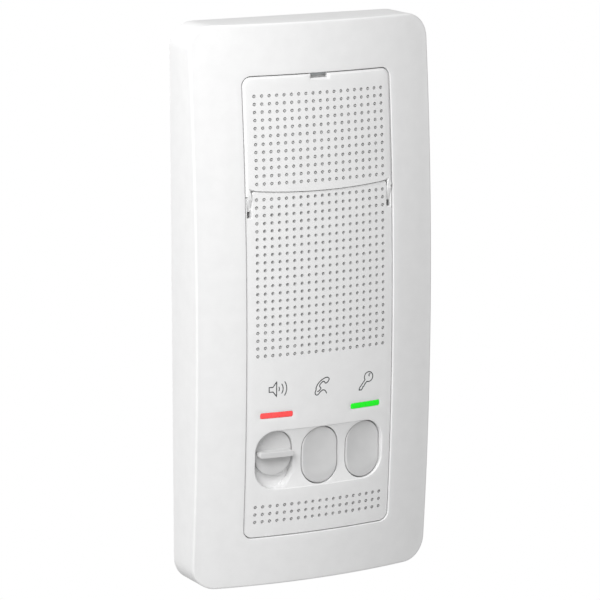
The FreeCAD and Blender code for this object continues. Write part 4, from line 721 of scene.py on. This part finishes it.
def makeCover():
    shell = Shell()
    outline = coverOutline()
    front = onPillow()
    profile = [(cover["chamfer"], 0.0), (cover["chamfer"] - cover["soften"], cover["softenDrop"]),
               (cover["edgeInset"], cover["drop"] - cover["edgeAbove"]),
               (0.0, cover["drop"] + cover["edgeBelow"]), (0.0, cover["skin"])]
    rings = [shell.ring(loop, front(loop) - drop) for loop, drop in
             ((coverInset(outline, inset), drop) for inset, drop in profile)]
    shell.bridge(*rings)
    holes = holeRows(*grid["coverRows"])
    shell.fill(rings[0], holeMouths(shell, holes, front), front)
    underLoop = shrunk(outline, cover["underInset"])
    under = shell.ring(underLoop, front(underLoop) - cover["skin"])
    shell.bridge(rings[-1], under)
    shell.fill(under, [], onPillow(cover["skin"]), cover["lattice"])
    made = joined(
        shell.build("service_cover", shellWhite),
        # The dimples' liners carry painted shade.
        linedHoles("cover_dimples", holes, 0.0, dimple, dimpleShadeGrey),
        coverLeg(-1), coverLeg(1), latchTab())
    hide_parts("service_cover")
    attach(made, "cover")


def coverLeg(side):
    middle = side * (leg["inner"] + leg["outer"]) / 2
    start = float(pillow(middle, leg["rampStart"]))
    lapLevel = cover["shoulder"] + leg["lap"]
    back = leg["pivotHeight"] - leg["behind"]
    section = [(back, leg["foot"]), (start - leg["rampDrop"], leg["foot"]), (start, leg["rampStart"]),
               (float(pillow(middle, lapLevel)), lapLevel),
               (float(pillow(middle, leg["root"])) - leg["lap"], leg["root"]), (back, leg["root"])]
    x0, x1 = sorted((side * leg["inner"], side * leg["outer"]))
    arm = prismAlong("cover_leg", section, x0, x1, shellWhite)
    pin = Shell()
    circle = circlePoints(leg["pivotHeight"], leg["pivotLevel"], leg["pin"], leg["pinSides"])
    ends = []
    for x in (side * (leg["inner"] - leg["pinOut"]), side * (leg["inner"] + leg["pinIn"])):
        first = len(pin.points)
        pin.points += [(x, -h, z) for h, z in circle]
        ends.append(list(range(first, len(pin.points))))
    pin.bridge(*ends)
    pin.cap(ends[0])
    pin.cap(ends[1])
    return joined(arm, pin.build("cover_pin", shellWhite))


def latchTab():
    # The hook under the cover's top edge, and the floor that closes the finger notch.
    top = latch["top"]
    tip = float(pillow(0.0, top)) - cover["skin"] - latch["reach"]
    root = tip + latch["length"]
    hook = [(tip, top - latch["thickness"]), (root, top - latch["thickness"]), (root, top),
            (tip + latch["lead"], top)]
    high = window["halfHeight"] - window["gap"] - latch["clear"]
    low = top - latch["lap"]
    floor = float(pillow(0.0, high)) - cover["skin"] - latch["floorDrop"]
    deep = floor - latch["floorThickness"]
    ledge = [(deep, low), (floor, low), (floor, high), (deep, high)]
    hookPiece, ledgePiece = [
        prismAlong(name, section, -latch["halfWidth"], latch["halfWidth"], shellWhite)
        for name, section in (("latch_tab", hook), ("notch_floor", ledge))]
    return joined(hookPiece, ledgePiece)


# Keys, which are hollow caps with a dished front, a flange and a stem

keys = {"gap": 0.3, "edgeInset": 1.35, "dish": 2.2, "dishRadius": 45.0, "round": 0.4, "foot": 14.4,
        "flange": 0.8, "flangeHeight": 1.1, "wall": 1.2, "stem": 2.2, "stemSides": 24, "stemEnd": 11.0,
        "bend": 16, "side": 4, "lattice": (0.8, (0.4, 0.4)), "backLattice": 2.0}


def dishHeight(loop, x, level, depth, limit):
    # A ball pressed into the front, square to the front's own slope there, down to a limit behind it.
    out = float(pillow(0.0, trough["level"])) - plate["across"]
    lift = keys["dishRadius"] - depth + plate["across"]
    ratio = x / plate["across"]
    ballX, ballH = lift * ratio, out + lift * math.sqrt(1 - ratio * ratio)
    across, along = loop[:, 0] - ballX, loop[:, 1] - level
    hollow = ballH - np.sqrt(keys["dishRadius"] ** 2 - across ** 2 - along ** 2)
    return np.minimum(hollow, pillow(loop[:, 0], loop[:, 1], limit))


def makeKey(name, cadNode, body, x):
    shell = Shell()
    level = trough["level"]
    outline = obround(x, level, wells["halfWidth"] - keys["gap"], wells["halfHeight"] - keys["gap"],
                      keys["bend"], keys["side"])

    def front(loop):
        return dishHeight(loop, x, level, keys["dish"], keys["edgeInset"])

    rings = shell.sweep(outline, rounding(keys["round"]), front)
    shell.fill(rings[0], [], front, *keys["lattice"])
    wide, hollow = shrunk(outline, -keys["flange"]), shrunk(outline, keys["wall"])
    foot, flangeTop = keys["foot"], keys["foot"] + keys["flangeHeight"]
    inside = [shell.ring(outline, flangeTop), shell.ring(wide, flangeTop), shell.ring(wide, foot),
              shell.ring(hollow, foot), shell.ring(hollow, pillow(*hollow.T) - keys["dish"] - keys["wall"])]
    shell.bridge(rings[-1], *inside)
    stem = circlePoints(x, level, keys["stem"], keys["stemSides"])
    stemTop = shell.ring(stem, float(pillow(x, level)) - keys["dish"] - keys["wall"])
    stemLow = shell.ring(stem, keys["stemEnd"])
    shell.bridge(stemTop, stemLow)
    shell.cap(stemLow)
    shell.fill(inside[-1], [stemTop], onPillow(keys["dish"] + keys["wall"]), keys["backLattice"])
    made = shell.build(name, keyGrey)
    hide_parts(cadNode)
    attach(made, body)


# Volume knob, shorter than its well, with a bar that the thumb pushes

knob = {"halfWidth": 6.3, "halfHeight": 7.55, "level": -47.55, "edgeInset": 2.4, "dish": 3.0,
        "round": 0.3, "back": 17.0, "side": 2, "backLattice": 3.0,
        "ridgeHalfWidth": 6.0, "ridgeHalfHeight": 0.98, "ridgeRise": 0.5, "crown": 0.2,
        "ridgeRoot": 17.5, "ridgeBend": 10, "ridgeSide": 12, "ridgeLattice": (0.8, (0.4, 0.0)),
        "stemHalfWidth": 3.0, "stemHalfHeight": 2.0, "stemCorner": 0.3, "stemEnd": 12.6}


def makeKnob():
    shell = Shell()
    x, level = -wells["pitch"], knob["level"]
    outline = obround(x, level, knob["halfWidth"], knob["halfHeight"], keys["bend"], knob["side"])

    def front(loop):
        return dishHeight(loop, x, level, knob["dish"], knob["edgeInset"])

    rings = shell.sweep(outline, rounding(knob["round"]), front)
    foot = shell.ring(outline, knob["back"])
    shell.bridge(rings[-1], foot)
    shell.fill(rings[0], [], front, *keys["lattice"])
    makeRidge(shell, x, level)
    stem = roundedOutline(x, level, knob["stemHalfWidth"], knob["stemHalfHeight"], knob["stemCorner"])
    stemTop, stemLow = shell.ring(stem, knob["back"]), shell.ring(stem, knob["stemEnd"])
    shell.bridge(stemTop, stemLow)
    shell.cap(stemLow)
    shell.fill(foot, [stemTop], lambda loop: np.full(len(loop), knob["back"]), knob["backLattice"])
    made = shell.build("volume_knob", keyGrey)
    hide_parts("volume_knob")
    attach(made, "volume")


def makeRidge(shell, x, level):
    outline = obround(x, level, knob["ridgeHalfWidth"], knob["ridgeHalfHeight"],
                      knob["ridgeBend"], knob["ridgeSide"])
    rise = knob["ridgeRise"]
    root = shell.ring(outline, knob["ridgeRoot"])
    sides = [shell.ring(loop, pillow(*loop.T) + rise - drop) for loop, drop in
             ((shrunk(outline, inset), drop) for inset, drop in reversed(rounding(knob["crown"])))]
    shell.bridge(root, *sides)
    shell.fill(sides[-1], [], onPillow(-rise), *knob["ridgeLattice"])
    shell.cap(root)


# Light bars: a lens in the panel, a brim behind it and a stem down to the lamp

def makeLightBar(name, cadNode, x, material):
    shell = Shell()
    outline, brim = barOutline(x, 0.0), barOutline(x, bars["brim"])
    stem = roundedOutline(x, bars["level"], bars["stemHalfWidth"], bars["stemHalfHeight"],
                          bars["stemCorner"], bars["bend"], bars["side"])
    front = onPillow(face["recess"] - bars["proud"])
    rings = shell.sweep(outline, rounding(bars["round"]), front)
    shell.fill(rings[0], [], front, *bars["lattice"])
    behind = [shell.ring(outline, bars["brimTop"]), shell.ring(brim, bars["brimTop"]),
              shell.ring(brim, bars["brimLow"]), shell.ring(stem, bars["brimLow"]),
              shell.ring(stem, bars["stemEnd"])]
    shell.bridge(rings[-1], *behind)
    shell.cap(behind[-1])
    made = shell.build(name, material)
    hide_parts(cadNode)
    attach(made, "housing")


# Printed symbols: thin ink outlines that lie on the face, drawn about their own centres

symbols = {"stroke": 0.34, "lift": 0.012, "step": 0.35,
           "loudspeaker": (-16.0, -25.8), "handset": (-0.35, -26.3), "key": (16.2, -26.45)}


def loudspeakerLines():
    horn = [(-3.0, -0.85), (-1.7, -0.85), (-0.45, -2.4), (-0.45, 2.4), (-1.7, 0.7), (-3.0, 0.7)]
    waves = [(False, arcPoints(-0.9, 0.0, radius, -spread, spread))
             for radius, spread in ((1.4, 30), (2.7, 36), (3.95, 36))]
    return [(True, horn)] + waves


def handsetLines():
    # A handset leaning over its cord, in one stroke.
    stroke = [(-1.7, -1.75), (-1.0, -1.5), (-0.2, -0.7), (-1.0, 0.0), (-0.6, 0.85), (0.75, 1.75),
              (1.25, 0.6), (2.4, 1.4), (2.7, 2.3), (1.75, 2.9), (0.0, 2.2), (-1.45, 1.0), (-2.2, -0.4),
              (-2.1, -1.1), (-2.6, -2.0), (-2.1, -2.95), (-1.3, -2.75), (-0.6, -1.8), (0.6, -1.2),
              (1.4, -1.8), (1.75, -2.65)]
    return [(False, cornersCut(stroke, 2))]


def keyLines():
    # Bow, shank and bit in one line, and the glint in the bow's hole.
    outline = arcPoints(1.15, 1.24, 1.65, -112, 212, 26)
    outline += [(-2.4, -2.2), (-2.4, -2.85), (-1.6, -2.9), (-1.15, -2.3), (-1.05, -1.85), (-0.65, -1.75),
                (-0.4, -1.2), (0.05, -0.7)]
    return [(True, outline), (False, arcPoints(1.65, 1.75, 0.4, 60, 250, 8))]


def cornersCut(points, rounds):
    # Each round cuts every corner off, which turns the open line into a smooth one.
    points = np.array(points, float)
    for turn in range(rounds):
        starts, ends = points[:-1], points[1:]
        cut = np.stack([starts * 0.75 + ends * 0.25, starts * 0.25 + ends * 0.75], axis=1).reshape(-1, 2)
        points = np.vstack([points[:1], cut[1:-1], points[-1:]])
    return points


def subdivided(points, isClosed):
    # The same line with more points, so that it follows the curved face.
    points = [np.array(p, float) for p in points]
    ends = points[1:] + ([points[0]] if isClosed else [])
    result = []
    for one, two in zip(points, ends):
        count = max(1, int(np.linalg.norm(two - one) / symbols["step"]))
        result += [one + (two - one) * i / count for i in range(count)]
    if not isClosed:
        result.append(points[-1])
    return np.array(result)


def strokeSides(points, isClosed):
    # Both sides of a line of the stroke's width, point for point.
    before, after = np.roll(points, 1, axis=0), np.roll(points, -1, axis=0)
    if not isClosed:
        before[0], after[-1] = points[0], points[-1]
    along = after - before
    along /= np.linalg.norm(along, axis=1)[:, None]
    side = np.stack([-along[:, 1], along[:, 0]], axis=1)
    edge = after - points
    length = np.linalg.norm(edge, axis=1)
    length[length == 0] = 1.0
    edge /= length[:, None]
    square = np.stack([-edge[:, 1], edge[:, 0]], axis=1)
    stretch = np.clip(np.abs((side * square).sum(axis=1)), 0.5, 1.0)
    if not isClosed:
        stretch[-1] = 1.0
    reach = (symbols["stroke"] / 2 / stretch)[:, None]
    return points + side * reach, points - side * reach


def printedSymbol(name, lines, centre):
    shell = Shell()
    front = onPillow(face["recess"] - symbols["lift"])
    for isClosed, points in lines:
        left, right = strokeSides(subdivided(points, isClosed) + centre, isClosed)
        one, two = shell.ring(left, front(left)), shell.ring(right, front(right))
        count = len(one)
        for i in range(count if isClosed else count - 1):
            j = (i + 1) % count
            shell.faces.append((one[i], one[j], two[j], two[i]))
    made = shell.build(name, printGrey)
    # The ink is an open layer, so its faces are turned to the front here.
    body = bmesh.new()
    body.from_mesh(made.data)
    bmesh.ops.reverse_faces(body, faces=[f for f in body.faces if f.normal.y > 0])
    body.to_mesh(made.data)
    body.free()
    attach(made, "housing")


makeFrame()
print("frame done")
holeTree = liftTree()
dimple = linerMesh("dimple_liner", grid["blindDepth"], True)
tube = linerMesh("sound_hole_liner", face["skin"], False)
makePanel()
print("panel done")
makeCover()
print("cover done")
makeKey("talk_key", "talk_button", "talk", 0.0)
makeKey("door_key", "door_button", "door", wells["pitch"])
makeKnob()
makeLightBar("red_bar", "red_light_bar", -wells["pitch"], redGlow)
makeLightBar("green_bar", "green_light_bar", wells["pitch"], greenGlow)
printedSymbol("loudspeaker_symbol", loudspeakerLines(), symbols["loudspeaker"])
printedSymbol("handset_symbol", handsetLines(), symbols["handset"])
printedSymbol("key_symbol", keyLines(), symbols["key"])
bpy.data.objects.remove(dimple)
bpy.data.objects.remove(tube)
print("keys, bars and symbols done")


# Studio in metres: pale floor well below, a white surround and a soft lamp from the upper left

studio = {"surround": 0.52, "lean": 0.85, "towards": (-0.72, -0.25, 0.65), "seen": 1.0,
          "lampPower": 4.0, "lampPlace": (-0.46, -0.38, 0.40), "lampTarget": (0.0, -0.01, 0.0),
          "lampSize": 0.5, "floorColour": "#e6e6e6", "floorLevel": -0.6, "floorHalf": 12.0}
view = {"lens": 203.75, "sensor": 36.0, "near": 0.05, "place": (-0.503807, -0.970248, 0.217573),
        "turn": (78.6415, 0.0587, -27.6262)}  # lens and sensor in mm, turn in degrees


def brightToCamera(tree, shader, output):
    # Seen straight on the surface is white paper in full light, and its bounce stays as soft as set.
    seen = addNode(tree, "ShaderNodeLightPath").outputs["Is Camera Ray"]
    paper = addNode(tree, "ShaderNodeEmission", inputs={"Strength": studio["seen"]})
    both = addNode(tree, "ShaderNodeMixShader", links={0: seen, 1: shader, 2: paper.outputs["Emission"]})
    addNode(tree, output, links={"Surface": both.outputs["Shader"]})


def makeFloor():
    half, level = studio["floorHalf"], studio["floorLevel"]
    mesh = bpy.data.meshes.new("floor")
    mesh.from_pydata([(-half, -half, level), (half, -half, level), (half, half, level),
                      (-half, half, level)], [], [(0, 1, 2, 3)])
    material = bpy.data.materials.new("pale paper floor")
    material.use_nodes = True
    tree = material.node_tree
    tree.nodes.clear()
    matte = addNode(tree, "ShaderNodeBsdfDiffuse", inputs={"Color": linear(studio["floorColour"])})
    brightToCamera(tree, matte.outputs["BSDF"], "ShaderNodeOutputMaterial")
    mesh.materials.append(material)
    made = bpy.data.objects.new("floor", mesh)
    bpy.context.collection.objects.link(made)


def makeLamp():
    data = bpy.data.lights.new("soft_lamp", "AREA")
    data.shape = "DISK"
    data.size = studio["lampSize"]
    data.energy = studio["lampPower"]
    lamp = bpy.data.objects.new("soft_lamp", data)
    bpy.context.collection.objects.link(lamp)
    lamp.location = studio["lampPlace"]
    aim = Vector(studio["lampTarget"]) - Vector(studio["lampPlace"])
    lamp.rotation_euler = aim.to_track_quat("-Z", "Y").to_euler()


def makeWorld():
    # White all round, brighter towards the upper left.
    world = bpy.data.worlds.new("white surround")
    bpy.context.scene.world = world
    world.use_nodes = True
    tree = world.node_tree
    tree.nodes.clear()
    way = addNode(tree, "ShaderNodeTexCoord").outputs["Generated"]
    lean = addNode(tree, "ShaderNodeVectorMath", {"operation": "DOT_PRODUCT"},
                   {1: studio["towards"]}, {0: way}).outputs["Value"]
    level, swing = studio["surround"], studio["surround"] * studio["lean"]
    strength = addNode(tree, "ShaderNodeMath", {"operation": "MULTIPLY_ADD"},
                       {1: swing, 2: level}, {0: lean})
    soft = addNode(tree, "ShaderNodeBackground", links={"Strength": strength.outputs["Value"]})
    brightToCamera(tree, soft.outputs["Background"], "ShaderNodeOutputWorld")


def makeCamera():
    data = bpy.data.cameras.new("camera")
    data.lens = view["lens"]
    data.sensor_width = view["sensor"]
    data.clip_start = view["near"]
    camera = bpy.data.objects.new("camera", data)
    bpy.context.collection.objects.link(camera)
    camera.location = view["place"]
    camera.rotation_euler = Euler([math.radians(a) for a in view["turn"]], "XYZ")
    bpy.context.scene.camera = camera


makeFloor()
makeLamp()
makeWorld()
makeCamera()
bpy.context.scene.view_settings.view_transform = "Standard"
print("studio done")
